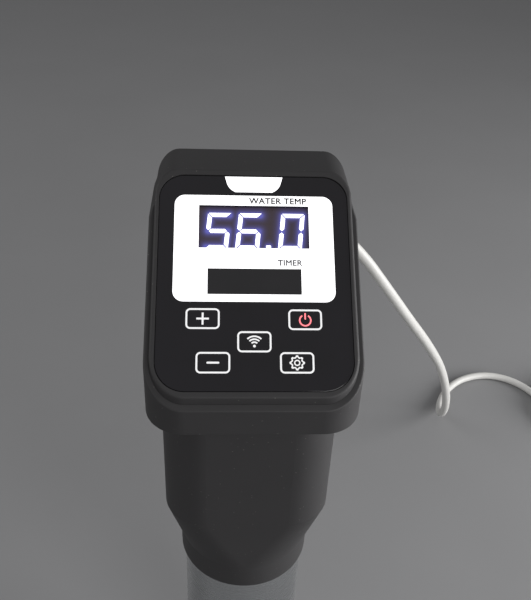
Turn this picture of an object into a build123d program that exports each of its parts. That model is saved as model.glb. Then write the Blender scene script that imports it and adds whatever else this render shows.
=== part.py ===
from build123d import *
import os
from math import cos, pi, radians, sin, sqrt, tan

# Sous vide circulator. Millimetres, +Z up, the control panel faces -Y, and the
# origin is the centre of the flat underside of the bottom cap, on the drive axis.

# ---------------------------------------------------------------- driving sizes
# Upper head shell: a wedge whose sloping face carries the control panel.
HEAD_W = 83.8
HEAD_TAPER = 0.6            # how much each side comes in from the front to the back
HEAD_FRONT_Y = -48.5
TOP_LENGTH = 21.7           # flat top of the head, from the panel back
HEAD_FLOOR_Z = 308.8        # underside of the lower head shell
HEAD_HEIGHT = 77.7          # underside of the lower shell to the top of the upper one
PANEL_TILT = 38.0           # slope of the panel from the horizontal, degrees
PANEL_RISE = 17.7           # panel plane above the head's underside, at the front wall
FRONT_CORNER_R = 14.0
REAR_CORNER_R = 10.0
SHOULDER_R = 9.5
SHELL_WALL = 2.2
RIM_EDGE_R = 1.3

# Lower head shell: a collar that wraps the upper one and follows its slope.
COLLAR_STEP = 2.3           # how far it stands outside the upper shell
COLLAR_EDGE_DROP = 2.6      # its sloping edge below the panel plane
COLLAR_TOP_DROP = 6.5       # its flat top edge below the top of the head
COLLAR_EDGE_R = 0.8
SHELL_GAP = 0.1             # slip between the two head shells
OVERCUT = 1.0               # how far a cut runs on past the surface it opens

# Panel lens and what is behind it, measured down from the panel plane.
RIM_W = 2.4
LENS_T = 2.0
LENS_SINK = 0.2
LENS_CORNER_LOW_R = 12.0
LENS_CORNER_HIGH_R = 10.5
LENS_EDGE = 0.25            # bevel round the lens's outer face
TAPE_T = 0.3
TAPE_W = 3.4
TAPE_INSET = 0.2
LEDGE_W = 3.8
LEDGE_T = 1.8
LED_GAP = 1.0               # lens underside to the face of the digit modules
LED_T = 7.2
LED_EDGE = 0.3
BOARD_T = 1.6
BOARD_MARGIN = 4.0          # display board inside the lens outline
BOARD_CORNER_R = 4.0
BOARD_SCREW_INSET = 7.6     # board screws inside the lens outline

# Printed window places on the panel, from its centre: (across, up the slope).
TEMP_MODULE = (48.0, 21.4)
TEMP_CENTRE = (0.0, 23.1)
TIMER_MODULE = (41.0, 13.6)
TIMER_CENTRE = (0.1, -1.0)
KEY_CENTRES = [(-20.6, -16.8), (20.4, -16.9), (-0.1, -26.2), (-16.6, -34.7), (16.6, -34.7)]
TOUCH_PAD_R = 3.2

# On the back of the display board, (across, up the slope) and sizes.
WIFI_CENTRE = (16.0, 12.0)
WIFI_BOARD = (16.0, 24.0, 0.8)
WIFI_CAN = (12.5, 15.0, 1.6)
WIFI_CAN_DROP = 3.0         # shield can below the middle of its board
BUZZER_CENTRE = (-18.0, 14.0)
BUZZER_R = 6.0
BUZZER_H = 7.5
BUZZER_HOLE_R = 1.1

# Neck: two half shells parted on the XZ plane.
NECK_W = 79.0
NECK_D = 66.0
NECK_CORNER_R = 20.0
NECK_BOTTOM_Z = 200.0
NECK_TAPER_H = 32.0         # height of the taper from the round foot to the full width
NECK_FLARE = 4.0            # cove under the head
NECK_FLARE_T = 1.0
FLARE_LIP = 0.3             # flat left between the cove and the head
FOOT_FLAT = 0.2             # flats of the foot, so that it has the full neck's eight edges

# Water end.
SKIRT_R = 31.0
SKIRT_T = 0.8
SKIRT_BOTTOM_Z = 26.0
SKIRT_TOP_Z = 186.0
INTAKE_SLOTS = 12
INTAKE_SLOT = (3.2, 40.0)
INTAKE_Z = 72.0
VENT_HOLES = 6
VENT_R = 2.0
VENT_Z = 158.0
VENT_TURN = 30.0            # first vent hole, degrees
CAP_H = 40.0
CAP_WALL = 2.0
CAP_FLOOR_T = 2.5
CAP_FOOT_EDGE = 1.2
CAP_LIP_R = 0.8
CAP_LEDGE = 1.0             # ledge in the cap under the skirt's edge
CAP_LEDGE_GAP = 0.05
CAP_FIT = 0.15              # slip between the bottom cap and the skirt
CAP_WINDOWS = 10
CAP_WINDOW = (12.0, 14.0)
CAP_WINDOW_R = 2.5
CAP_WINDOW_Z = 16.0
CAP_GRILLE_SLOTS = 12
CAP_GRILLE_SLOT = (13.0, 3.0)
CAP_GRILLE_R = 15.5
LUGS = 3
LUG_ANGLE = 8.0
LUG_H = 3.6
LUG_Z = 33.0
LUG_FIT = 0.2
LUG_SIDE_FIT = 1.0          # total slip of a lug along its slot, degrees
LUG_ROOT = 0.5              # lug into the cap's wall
LUG_REACH = 0.3             # lug past the skirt's inner surface
TWIST_ANGLE = 20.0

# Collar between the neck and the skirt.
SPIGOT_FIT = 0.15
SPIGOT_H = 14.0
COLLAR_BORE_R = 24.5
COLLAR_CHAMFER = 0.6
COLLAR_SHOULDER = 2.0       # collar beyond the skirt
FOOT_SPIGOT_H = 6.0
O_RING_R = 1.5
O_RING_Z = 179.0
O_RING_FIT = 0.05
O_RING_SIDE_GAP = 0.1
BOSS_R = 3.6
BOSS_PLACE_R = 23.5
BOSS_ANGLES = [90.0, 210.0, 330.0]

# Heater, probes and the shaft's support.
PLATE_T = 1.5
HEATER_TUBE_R = 3.25
HEATER_PLACE_R = 20.0
HEATER_LEGS = 6
HEATER_LOW_Z = 60.0
HEATER_HIGH_Z = 158.0
HEATER_TAIL = 8.0           # heater ends above the end plate
HEATER_BEND_FLAT = 0.1      # short of a full half circle at each return bend
PROBE_PLACE_R = 9.8
PROBE_R = 2.4
PROBE_END_Z = 62.0
PROBE_TIP_FLAT = 0.3
PROBE_TAIL = 6.0            # probe ends above the end plate
LEVEL_PROBE_R = 1.5
LEVEL_PROBE_ENDS = [(150.0, 92.0), (270.0, 150.0)]     # (angle, lower end)
PROBE_ANGLE = 30.0
SHAFT_TUBE_R = 5.0
SHAFT_TUBE_WALL = 1.0
SHAFT_TUBE_END_Z = 36.0
BUSH_H = 8.0
SEAL_R = 6.6
SEAL_H = 5.0
SEAL_EDGE_R = 0.8
PLATE_SCREW_L = 12.0

# Drive.
SHAFT_R = 2.5
RUN_FIT = 0.05              # radial running clearance
SHAFT_BOTTOM_Z = 11.0
SHAFT_CHAMFER = 0.4
SHAFT_STUB = 1.0            # motor shaft beyond the fan
COUPLING_R = 6.5
COUPLING_BOTTOM_Z = 186.0
COUPLING_H = 18.0
GRUB_SCREW_R = 1.25
GRUB_SCREW_INSET = 4.5      # grub screws from the ends of the coupling
SHAFT_JOIN_Z = 195.0
SHAFT_JOIN_GAP = 1.0
IMPELLER_R = 21.0
IMPELLER_HUB_R = 6.0
IMPELLER_BOTTOM_Z = 14.0
IMPELLER_H = 14.0
IMPELLER_DISC_T = 2.0
IMPELLER_BLADES = 6
BLADE_T = 1.6
BLADE_ROOT = 1.0            # impeller blade into the hub
BLADE_TIP_GAP = 0.5         # blade short of the disc's rim
BLADE_MID_SHARE = 0.62      # radius of the blade's middle over its tip's
BLADE_SWEEPS = (6.9, 37.2)  # turn of the blade's middle and tip, degrees
NUT_FLATS = 8.0
NUT_H = 4.4

# Motor.
GROMMET_R = 4.6
GROMMET_H = 3.0
MOUNT_PLATE_R = 29.0
MOUNT_PLATE_T = 2.5
MOUNT_BORE_GAP = 2.0
MOUNT_SCREW_L = 15.0
MOTOR_R = 19.0
MOTOR_H = 46.5
MOTOR_WALL = 1.5
MOTOR_FLOOR_T = 2.5
MOTOR_EDGE_R = 1.5
MAGNET_T = 2.9
MAGNET_H = 33.0
MAGNET_ARC = 140.0
AIR_GAP = 0.7
ARMATURE_H = 30.0
ARMATURE_SLOTS = 7
ARMATURE_SLOT_W = 1.6
ARMATURE_CORE_SHARE = 0.62  # radius of the solid core over the armature's
COMMUTATOR_R = 6.0
COMMUTATOR_H = 5.0
BEARING_R = 6.0
BEARING_H = 4.0
END_CAP_T = 4.0
MOTOR_SCREW_PLACE_R = 12.0
FAN_R = 21.0
FAN_HUB_R = 6.0
FAN_H = 9.0
FAN_BLADES = 7
FAN_BLADE = (9.0, 1.2)      # chord and thickness
FAN_BLADE_ROOT = 0.6
FAN_PITCH = 38.0            # degrees
FAN_CLEARANCE = 2.5

# Power electronics on a board that stands behind the motor's axis.
POWER_BOARD = (52.0, 60.0)
POWER_BOARD_Y = 20.0
POWER_BOARD_Z = 278.0
# Components on it, sizes (wide, deep, high) and places (across, above its lower edge).
TRANSFORMER = (22.0, 15.0, 19.0)
TRANSFORMER_PLACE = (-14.0, 14.0)
TRANSFORMER_EDGE_R = 1.2
RELAY = (19.0, 15.0, 15.0)
RELAY_PLACE = (14.0, 14.0)
RELAY_EDGE_R = 0.6
CAPACITOR = (5.0, 14.0)      # radius and height
CAPACITOR_PLACES = [(-19.0, 36.0), (-6.0, 36.0)]
HEATSINK = (20.0, 9.0, 24.0)
HEATSINK_PLACE = (14.0, 40.0)
HEATSINK_BASE = 2.0
HEATSINK_FINS = 5

# Fasteners: head radius, head height, shank radius.
SCREW_HEAD_R = 2.8
SCREW_HEAD_H = 2.2
SCREW_HEAD_EDGE_R = 0.88
SCREW_CROSS = (2.4, 0.6)
SCREW_R = 1.45
SCREW_FIT = 0.1
THREAD_FIT = 0.05           # screw shank in the boss it cuts its thread in
SEAT_FIT = 0.3              # screw head in its counterbore
TIP_GAP = 2.0               # screw tip short of the end of its boss
HEAD_SCREW_INSET = 5.1      # head screws inside the sides of the neck
HEAD_SCREW_Y = 17.0
HEAD_SCREW_L = 8.0
HEAD_BOSS_H = 9.0
SHELL_SCREW_INSET = 6.8     # shell screws inside the corners of the upper shell
SHELL_BOSS_H = 7.5
BLIND_END = 1.0             # solid end of a screw boss
CASE_SCREW_X = 31.0
CASE_SCREW_HEIGHTS = [242.0, 294.0]
BOSS_POST_R = 3.3           # screw posts in the head
CASE_POST_R = 4.2           # screw posts across the neck
CASE_SEAT_Y = 19.0
CASE_THREAD_Y = 14.0        # depth of the thread in the front posts
CASE_SCREW_L = 30.0

# Pot clamp on the back of the neck.
CLAMP_W = 34.0
CLAMP_PLATE_T = 5.0
CLAMP_PLATE_H = 32.0
CLAMP_TOP_Z = 270.0
CLAMP_ARM_T = 7.0
CLAMP_LEG_GAP = 37.0        # back of the neck to the outer leg
CLAMP_LEG_T = 8.0
CLAMP_LEG_BOTTOM_Z = 212.0
CLAMP_LEG_CORNER_R = 11.3
CLAMP_AXIS_Z = 226.0
JAW_PAD = (22.0, 5.6, 20.0)
JAW_PAD_CORNER_R = 3.0
JAW_PAD_EDGE_R = 1.0
CLAMP_REST_GAP = 14.0       # jaw pad to the moving pad in the rest pose
PAD_R = 11.0
PAD_T = 3.0
PAD_SOCKET_R = 6.5
PAD_SOCKET_H = 3.8
PAD_EDGE_R = 0.8
BRACKET_SCREW_X = 10.0
BRACKET_SCREW_DROPS = (5.5, 19.5)   # below the arm
BRACKET_SCREW_SINK = 0.2
BRACKET_SCREW_L = 8.0
SPINDLE_R = 4.0
SPINDLE_CHAMFER = 0.5
KNOB_R = 18.0
KNOB_T = 15.5
KNOB_GAP = 14.5             # outer leg to the knob in the rest pose
KNOB_LOBES = 9
KNOB_SCALLOP_R = 5.0
KNOB_SCALLOP_OUT = 3.2      # centres of the scallops outside the knob
KNOB_EDGE_R = 1.6
NUT_INSERT_R = 6.5

# Mains lead.
CORD_R = 3.5
CORD_EXIT_Z = 340.0
RELIEF_L = 31.0
RELIEF_ROOT_R = 7.0
RELIEF_TIP_R = 4.9
RELIEF_NECK_R = 5.4
RELIEF_FLANGE_R = 8.5
RELIEF_FLANGE_T = 2.5
RELIEF_GROOVES = 5
RELIEF_GROOVE = (2.0, 1.8)
PLUG = (27.0, 34.0, 24.0)   # width, length along the pins, height
BLADE_RISE = 5.0            # blades above the plug's middle
PLUG_TAPER = (7.0, 5.0)     # narrower and lower at the cord's end
PLUG_GRIP_SHARE = 0.45      # tapering share of the plug's length
PLUG_CORNER_R = 7.0
PLUG_FACE_R = 1.2
PLUG_COIL_GAP = 1.0
PIN_CHAMFER = 0.4
PLUG_TAIL = 16.0
BLADE = (1.5, 6.3, 17.5)
BLADE_SPACING = 12.7
EARTH_PIN = (2.4, 20.0)
EARTH_OFFSET = 11.9
COIL_INNER_R = 35.0
COIL_LAYERS = 2
COIL_EDGE_SHARE = 0.8       # rounding of the coil's edges over the cord's radius

# ---------------------------------------------------------------- derived places
SLOPE = radians(PANEL_TILT)
HEAD_TOP_Z = HEAD_FLOOR_Z + HEAD_HEIGHT
HEAD_REAR_Y = HEAD_FRONT_Y + (HEAD_HEIGHT - PANEL_RISE) / tan(SLOPE) + TOP_LENGTH
PANEL_FRONT_Z = HEAD_FLOOR_Z + PANEL_RISE
PANEL_LENGTH = (HEAD_TOP_Z - PANEL_FRONT_Z) / sin(SLOPE)
PANEL_CENTRE_Y = HEAD_FRONT_Y + PANEL_LENGTH / 2 * cos(SLOPE)
PANEL_CENTRE_Z = PANEL_FRONT_Z + PANEL_LENGTH / 2 * sin(SLOPE)
LENS_W = HEAD_W - 2 * RIM_W
LENS_L = PANEL_LENGTH - 2 * RIM_W
LENS_BOTTOM = LENS_SINK + LENS_T
SEAT_DEPTH = LENS_BOTTOM + TAPE_T
LEDGE_BOTTOM = SEAT_DEPTH + LEDGE_T
LED_FACE = LENS_BOTTOM + LED_GAP
BOARD_TOP = LED_FACE + LED_T
BOARD_BOTTOM = BOARD_TOP + BOARD_T
COLLAR_TOP_Z = HEAD_TOP_Z - COLLAR_TOP_DROP
COLLAR_REAR_Y = HEAD_REAR_Y + COLLAR_STEP
INNER_FLOOR_Z = HEAD_FLOOR_Z + SHELL_WALL
SKIRT_IN_R = SKIRT_R - SKIRT_T
SPIGOT_R = SKIRT_IN_R - SPIGOT_FIT
COLLAR_Z = SKIRT_TOP_Z
FOOT_R = SKIRT_R + COLLAR_SHOULDER
FOOT_SPIGOT_R = FOOT_R - SHELL_WALL - SPIGOT_FIT
SPIGOT_Z = COLLAR_Z - SPIGOT_H
PLATE_Z = SPIGOT_Z - PLATE_T
MOUNT_Z = NECK_BOTTOM_Z + FOOT_SPIGOT_H + GROMMET_H
MOTOR_Z = MOUNT_Z + MOUNT_PLATE_T
MOTOR_TOP_Z = MOTOR_Z + MOTOR_H
MOTOR_FLOOR_Z = MOTOR_Z + MOTOR_FLOOR_T
BORE_R = SHAFT_R + RUN_FIT
FAN_Z = MOTOR_TOP_Z + END_CAP_T + FAN_CLEARANCE
MOTOR_SHAFT_TOP_Z = FAN_Z + FAN_H + SHAFT_STUB
IMPELLER_TOP_Z = IMPELLER_BOTTOM_Z + IMPELLER_H
CAP_BORE_R = SKIRT_R + CAP_FIT
CAP_R = CAP_BORE_R + CAP_WALL
CAP_INNER_R = SKIRT_IN_R - CAP_LEDGE
NECK_BACK_Y = NECK_D / 2
JAW_FACE_Y = NECK_BACK_Y + JAW_PAD[1]
PAD_FACE_Y = JAW_FACE_Y + CLAMP_REST_GAP
LEG_Y = NECK_BACK_Y + CLAMP_LEG_GAP
LEG_BACK_Y = LEG_Y + CLAMP_LEG_T
KNOB_Y = LEG_BACK_Y + KNOB_GAP
HEATER_ANGLES = [360.0 / HEATER_LEGS * leg for leg in range(HEATER_LEGS)]


# ---------------------------------------------------------------- shared shapes
def slope_plane(drop=0.0):
    """Plane parallel to the panel, 'drop' below it, centred on the panel; local Y runs up the slope."""
    normal = (0, -sin(SLOPE), cos(SLOPE))
    origin = (0, PANEL_CENTRE_Y - drop * normal[1], PANEL_CENTRE_Z - drop * normal[2])
    return Plane(origin=origin, x_dir=(1, 0, 0), z_dir=normal)


def head_form(grow, floor_z, top_z, drop):
    """Wedge of the head, 'grow' outside the upper shell, cut 'drop' below the panel plane."""
    half_front = HEAD_W / 2 + grow
    half_rear = half_front - HEAD_TAPER
    front, rear = HEAD_FRONT_Y - grow, HEAD_REAR_Y + grow
    with BuildPart() as form:
        with BuildSketch(Plane.XY.offset(floor_z)) as plan:
            with BuildLine():
                Polyline(
                    (-half_front, front), (half_front, front), (half_rear, rear), (-half_rear, rear),
                    close=True,
                )
            make_face()
            fillet(plan.vertices().group_by(Axis.Y)[0], FRONT_CORNER_R + grow)
            fillet(plan.vertices().group_by(Axis.Y)[-1], REAR_CORNER_R + grow)
        extrude(amount=top_z - floor_z)
        with BuildSketch(Plane.XZ) as section:
            with Locations((0, floor_z)):
                Rectangle(2 * half_front, top_z - floor_z, align=(Align.CENTER, Align.MIN))
            fillet(section.vertices().group_by(Axis.Y)[-1], SHOULDER_R + grow)
        extrude(amount=2 * rear, both=True, mode=Mode.INTERSECT)
        split(bisect_by=slope_plane(drop), keep=Keep.BOTTOM)
    return form.part


def neck_form(inset):
    """Neck from its round foot to its full width, 'inset' inside the outer surface."""
    foot = 2 * (FOOT_R - inset)
    taper_top_z = NECK_BOTTOM_Z + NECK_TAPER_H
    with BuildPart() as form:
        with BuildSketch(Plane.XY.offset(NECK_BOTTOM_Z)):
            RectangleRounded(foot + FOOT_FLAT, foot, foot / 2 - FOOT_FLAT / 2)
        with BuildSketch(Plane.XY.offset(taper_top_z)) as full:
            RectangleRounded(NECK_W - 2 * inset, NECK_D - 2 * inset, NECK_CORNER_R - inset)
        loft()
        extrude(full.sketch, amount=HEAD_FLOOR_Z - taper_top_z)
    return form.part


def disc(radius, bottom, top, bore=0.0):
    """Upright round slab or ring on the drive axis."""
    with BuildPart() as solid:
        with BuildSketch(Plane.XY.offset(bottom)):
            Circle(radius)
            if bore:
                Circle(bore, mode=Mode.SUBTRACT)
        extrude(amount=top - bottom)
    return solid.part


def post(radius, start, end, bore=0.0):
    """Round bar from point to point."""
    run = Vector(*end) - Vector(*start)
    with BuildPart() as solid:
        with BuildSketch(Plane(origin=start, z_dir=run)):
            Circle(radius)
            if bore:
                Circle(bore, mode=Mode.SUBTRACT)
        extrude(amount=run.length)
    return solid.part


def screw(length):
    """Pan-head screw standing on its shank: the head's underside is at the origin."""
    with BuildPart() as solid:
        with BuildSketch():
            Circle(SCREW_HEAD_R)
        extrude(amount=SCREW_HEAD_H)
        fillet(solid.edges().group_by(Axis.Z)[-1], SCREW_HEAD_EDGE_R)
        with BuildSketch(Plane.XY.offset(SCREW_HEAD_H)):
            Rectangle(*SCREW_CROSS)
            Rectangle(*SCREW_CROSS, rotation=90)
        extrude(amount=-SCREW_HEAD_H / 2, mode=Mode.SUBTRACT)
        with BuildSketch():
            Circle(SCREW_R)
        extrude(amount=-length)
    return solid.part


def lens_outline(inset):
    """Corner-rounded outline of the lens, in the panel's own plane."""
    with BuildSketch() as outline:
        Rectangle(LENS_W - 2 * inset, LENS_L - 2 * inset)
        fillet(outline.vertices().group_by(Axis.Y)[0], LENS_CORNER_LOW_R - inset)
        fillet(outline.vertices().group_by(Axis.Y)[-1], LENS_CORNER_HIGH_R - inset)
    return outline.sketch


def wedge(radius, middle, sweep_angle):
    """Flat wedge from the drive axis, 'sweep_angle' degrees wide about the direction 'middle'."""
    with BuildSketch() as sector:
        with BuildLine():
            rim = CenterArc((0, 0), radius, middle - sweep_angle / 2, sweep_angle)
            Polyline(rim @ 1, (0, 0), rim @ 0)
        make_face()
    return sector.sketch


def around_axis(radius, angle):
    """Place at 'angle' degrees on a circle round the drive axis."""
    return (radius * cos(radians(angle)), radius * sin(radians(angle)))


def four_places(x, y):
    """The four corner places at +-x and +-y."""
    return [(side_x * x, side_y * y) for side_x in (-1, 1) for side_y in (-1, 1)]


def hole(start, end, fit=SCREW_FIT):
    """Drill for a screw's shank, 'fit' wider all round, from point to point."""
    return post(SCREW_R + fit, start, end)


def slope_face(solid):
    """The face of a solid that lies furthest out along the panel's normal."""
    return solid.faces().sort_by(Axis(origin=(0, 0, 0), direction=slope_plane().z_dir))[-1]


def save(solid, name):
    """Label a finished piece and write its STEP file."""
    solid.label = name
    export_step(solid, f"parts/{name}.step")


os.makedirs("parts", exist_ok=True)

# ---------------------------------------------------------------- head shells
HEAD_SCREW_PLACES = four_places(NECK_W / 2 - HEAD_SCREW_INSET, HEAD_SCREW_Y)
SHELL_SCREW_PLACES = [
    (side * (HEAD_W / 2 - SHELL_SCREW_INSET), y)
    for side in (-1, 1)
    for y in (HEAD_FRONT_Y + SHELL_SCREW_INSET, HEAD_REAR_Y - SHELL_SCREW_INSET)
]
SHELL_BOSS_TOP_Z = INNER_FLOOR_Z + SHELL_BOSS_H
BOARD_SCREW_PLACES = four_places(LENS_W / 2 - BOARD_SCREW_INSET, LENS_L / 2 - BOARD_SCREW_INSET)
RELIEF_FLANGE_Y = HEAD_REAR_Y - SHELL_WALL - RELIEF_FLANGE_T
relief_hole = post(RELIEF_NECK_R + SCREW_FIT, (0, RELIEF_FLANGE_Y, CORD_EXIT_Z),
                   (0, COLLAR_REAR_Y + OVERCUT, CORD_EXIT_Z))

with BuildPart() as head_upper_shell:
    add(head_form(0, INNER_FLOOR_Z, HEAD_TOP_Z, 0))
    fillet(slope_face(head_upper_shell).outer_wire().edges(), RIM_EDGE_R)
    add(head_form(-SHELL_WALL, INNER_FLOOR_Z, HEAD_TOP_Z - SHELL_WALL, LEDGE_BOTTOM), mode=Mode.SUBTRACT)
    with BuildSketch(slope_plane()):
        add(lens_outline(-SCREW_FIT))
    extrude(amount=-SEAT_DEPTH, mode=Mode.SUBTRACT)
    with BuildSketch(slope_plane()):
        add(lens_outline(LEDGE_W))
    extrude(amount=-LEDGE_BOTTOM - OVERCUT, mode=Mode.SUBTRACT)
    for x, y in SHELL_SCREW_PLACES:
        add(post(BOSS_POST_R, (x, y, INNER_FLOOR_Z), (x, y, SHELL_BOSS_TOP_Z)))
        add(hole((x, y, INNER_FLOOR_Z), (x, y, SHELL_BOSS_TOP_Z - BLIND_END), THREAD_FIT), mode=Mode.SUBTRACT)
    with BuildSketch(slope_plane(LEDGE_BOTTOM)):
        with Locations(*BOARD_SCREW_PLACES):
            Circle(BOSS_POST_R)
    extrude(amount=LEDGE_BOTTOM - BOARD_TOP)
    with BuildSketch(slope_plane(BOARD_TOP)):
        with Locations(*BOARD_SCREW_PLACES):
            Circle(SCREW_R + THREAD_FIT)
    extrude(amount=BOARD_TOP - LEDGE_BOTTOM - BLIND_END, mode=Mode.SUBTRACT)
    add(relief_hole, mode=Mode.SUBTRACT)
save(head_upper_shell.part, "head_upper_shell")

with BuildPart() as head_lower_shell:
    add(head_form(COLLAR_STEP, HEAD_FLOOR_Z, COLLAR_TOP_Z, COLLAR_EDGE_DROP))
    floor_edges = head_lower_shell.faces().sort_by(Axis.Z)[0].outer_wire().edges()
    fillet(floor_edges + slope_face(head_lower_shell).outer_wire().edges(), COLLAR_EDGE_R)
    add(head_form(SHELL_GAP, INNER_FLOOR_Z, HEAD_TOP_Z, 0), mode=Mode.SUBTRACT)
    with BuildSketch(Plane.XY.offset(HEAD_FLOOR_Z)):
        RectangleRounded(NECK_W - 2 * SHELL_WALL, NECK_D - 2 * SHELL_WALL, NECK_CORNER_R - SHELL_WALL)
        with Locations(*HEAD_SCREW_PLACES):
            Circle(BOSS_POST_R, mode=Mode.SUBTRACT)
    extrude(amount=SHELL_WALL, mode=Mode.SUBTRACT)
    with BuildSketch(Plane.XY.offset(HEAD_FLOOR_Z)):
        with Locations(*HEAD_SCREW_PLACES, *SHELL_SCREW_PLACES):
            Circle(SCREW_R + SCREW_FIT)
    extrude(amount=SHELL_WALL, mode=Mode.SUBTRACT)
    add(relief_hole, mode=Mode.SUBTRACT)
save(head_lower_shell.part, "head_lower_shell")

with BuildPart() as display_lens:
    with BuildSketch(slope_plane(LENS_BOTTOM)):
        add(lens_outline(0))
    extrude(amount=LENS_T)
    chamfer(slope_face(display_lens).edges(), LENS_EDGE)
save(display_lens.part, "display_lens")

with BuildPart() as lens_tape:
    with BuildSketch(slope_plane(SEAT_DEPTH)):
        add(lens_outline(TAPE_INSET))
        add(lens_outline(TAPE_INSET + TAPE_W), mode=Mode.SUBTRACT)
    extrude(amount=TAPE_T)
save(lens_tape.part, "lens_tape")

with BuildPart() as shell_screws:
    for x, y in SHELL_SCREW_PLACES:
        with Locations(Location((x, y, HEAD_FLOOR_Z), (180, 0, 0))):
            add(screw(SHELL_BOSS_TOP_Z - HEAD_FLOOR_Z - TIP_GAP))
save(shell_screws.part, "shell_screws")

with BuildPart() as head_screws:
    for x, y in HEAD_SCREW_PLACES:
        with Locations((x, y, INNER_FLOOR_Z)):
            add(screw(HEAD_SCREW_L))
save(head_screws.part, "head_screws")

# ---------------------------------------------------------------- display stack
with BuildPart() as display_board:
    with BuildSketch(slope_plane(BOARD_BOTTOM)):
        RectangleRounded(LENS_W - 2 * BOARD_MARGIN, LENS_L - 2 * BOARD_MARGIN, BOARD_CORNER_R)
        with Locations(*BOARD_SCREW_PLACES):
            Circle(SCREW_R + SCREW_FIT, mode=Mode.SUBTRACT)
    extrude(amount=BOARD_T)
save(display_board.part, "display_board")


def digit_module(size, centre):
    """Seven-segment module standing on the display board, its face under the lens."""
    with BuildPart() as module:
        with BuildSketch(slope_plane(BOARD_TOP)):
            with Locations(centre):
                Rectangle(*size)
        extrude(amount=LED_T)
        chamfer(slope_face(module).edges(), LED_EDGE)
    return module.part


save(digit_module(TEMP_MODULE, TEMP_CENTRE), "temp_led_module")
save(digit_module(TIMER_MODULE, TIMER_CENTRE), "timer_led_module")

with BuildPart() as touch_pads:
    with BuildSketch(slope_plane(BOARD_TOP)):
        with Locations(*KEY_CENTRES):
            Circle(TOUCH_PAD_R)
    extrude(amount=BOARD_TOP - LENS_BOTTOM)
save(touch_pads.part, "touch_pads")

with BuildPart() as wifi_module:
    with BuildSketch(slope_plane(BOARD_BOTTOM)):
        with Locations(WIFI_CENTRE):
            Rectangle(WIFI_BOARD[0], WIFI_BOARD[1])
    extrude(amount=-WIFI_BOARD[2])
    with BuildSketch(slope_plane(BOARD_BOTTOM + WIFI_BOARD[2])):
        with Locations((WIFI_CENTRE[0], WIFI_CENTRE[1] - WIFI_CAN_DROP)):
            Rectangle(WIFI_CAN[0], WIFI_CAN[1])
    extrude(amount=-WIFI_CAN[2])
save(wifi_module.part, "wifi_module")

with BuildPart() as buzzer:
    with BuildSketch(slope_plane(BOARD_BOTTOM)):
        with Locations(BUZZER_CENTRE):
            Circle(BUZZER_R)
    extrude(amount=-BUZZER_H)
    with BuildSketch(slope_plane(BOARD_BOTTOM + BUZZER_H)):
        with Locations(BUZZER_CENTRE):
            Circle(BUZZER_HOLE_R)
    extrude(amount=BUZZER_H / 4, mode=Mode.SUBTRACT)
save(buzzer.part, "buzzer")

with BuildPart() as board_screws:
    for x, y in BOARD_SCREW_PLACES:
        spot = slope_plane(BOARD_BOTTOM).from_local_coords(Vector(x, y, 0))
        with Locations(Location(spot, (180 + PANEL_TILT, 0, 0))):
            add(screw(BOARD_T + BOARD_TOP - LEDGE_BOTTOM - TIP_GAP))
save(board_screws.part, "board_screws")

# ---------------------------------------------------------------- neck shells
CASE_SCREW_SPOTS = [(sx * CASE_SCREW_X, z) for sx in (-1, 1) for z in CASE_SCREW_HEIGHTS]


def neck_shell(side):
    """Half of the neck: side -1 is the front shell and side +1 the rear one."""
    flare_z = HEAD_FLOOR_Z - NECK_FLARE_T
    with BuildPart() as case_posts:
        for x, z in CASE_SCREW_SPOTS:
            add(post(CASE_POST_R, (x, 0, z), (x, side * NECK_BACK_Y, z)))
        add(neck_form(SHELL_WALL / 2), mode=Mode.INTERSECT)
    with BuildPart() as shell:
        add(neck_form(0))
        with BuildSketch(Plane.XY.offset(flare_z)):
            RectangleRounded(NECK_W + 2 * NECK_FLARE, NECK_D + 2 * NECK_FLARE, NECK_CORNER_R + NECK_FLARE)
        extrude(amount=NECK_FLARE_T)
        cove = shell.edges().filter_by_position(Axis.Z, flare_z - 0.01, flare_z + 0.01)
        fillet([edge for edge in cove if abs(edge.center().X) < NECK_W / 2 + 0.1
                and abs(edge.center().Y) < NECK_D / 2 + 0.1
                and edge.bounding_box().max.X < NECK_W / 2 + 0.1
                and edge.bounding_box().min.X > -NECK_W / 2 - 0.1], NECK_FLARE - FLARE_LIP)
        add(neck_form(SHELL_WALL), mode=Mode.SUBTRACT)
        add(case_posts.part)
        for x, z in CASE_SCREW_SPOTS:
            add(hole((x, 0, z), (x, side * CASE_THREAD_Y, z), THREAD_FIT), mode=Mode.SUBTRACT)
        for x, y in HEAD_SCREW_PLACES:
            boss_z = HEAD_FLOOR_Z - HEAD_BOSS_H
            add(post(BOSS_POST_R, (x, y, boss_z), (x, y, HEAD_FLOOR_Z)))
            add(hole((x, y, boss_z + BLIND_END), (x, y, HEAD_FLOOR_Z), THREAD_FIT), mode=Mode.SUBTRACT)
        split(bisect_by=Plane.XZ, keep=Keep.TOP if side < 0 else Keep.BOTTOM)
    return shell.part


BRACKET_SCREW_PLACES = [
    (side * BRACKET_SCREW_X, CLAMP_TOP_Z - CLAMP_ARM_T - drop)
    for side in (-1, 1)
    for drop in BRACKET_SCREW_DROPS
]
BRACKET_SEAT_Y = NECK_BACK_Y + CLAMP_PLATE_T - SCREW_HEAD_H - BRACKET_SCREW_SINK
SEAT_HOLE_R = SCREW_HEAD_R + SEAT_FIT

with BuildPart() as neck_front_shell:
    add(neck_shell(-1))
save(neck_front_shell.part, "neck_front_shell")

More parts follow.
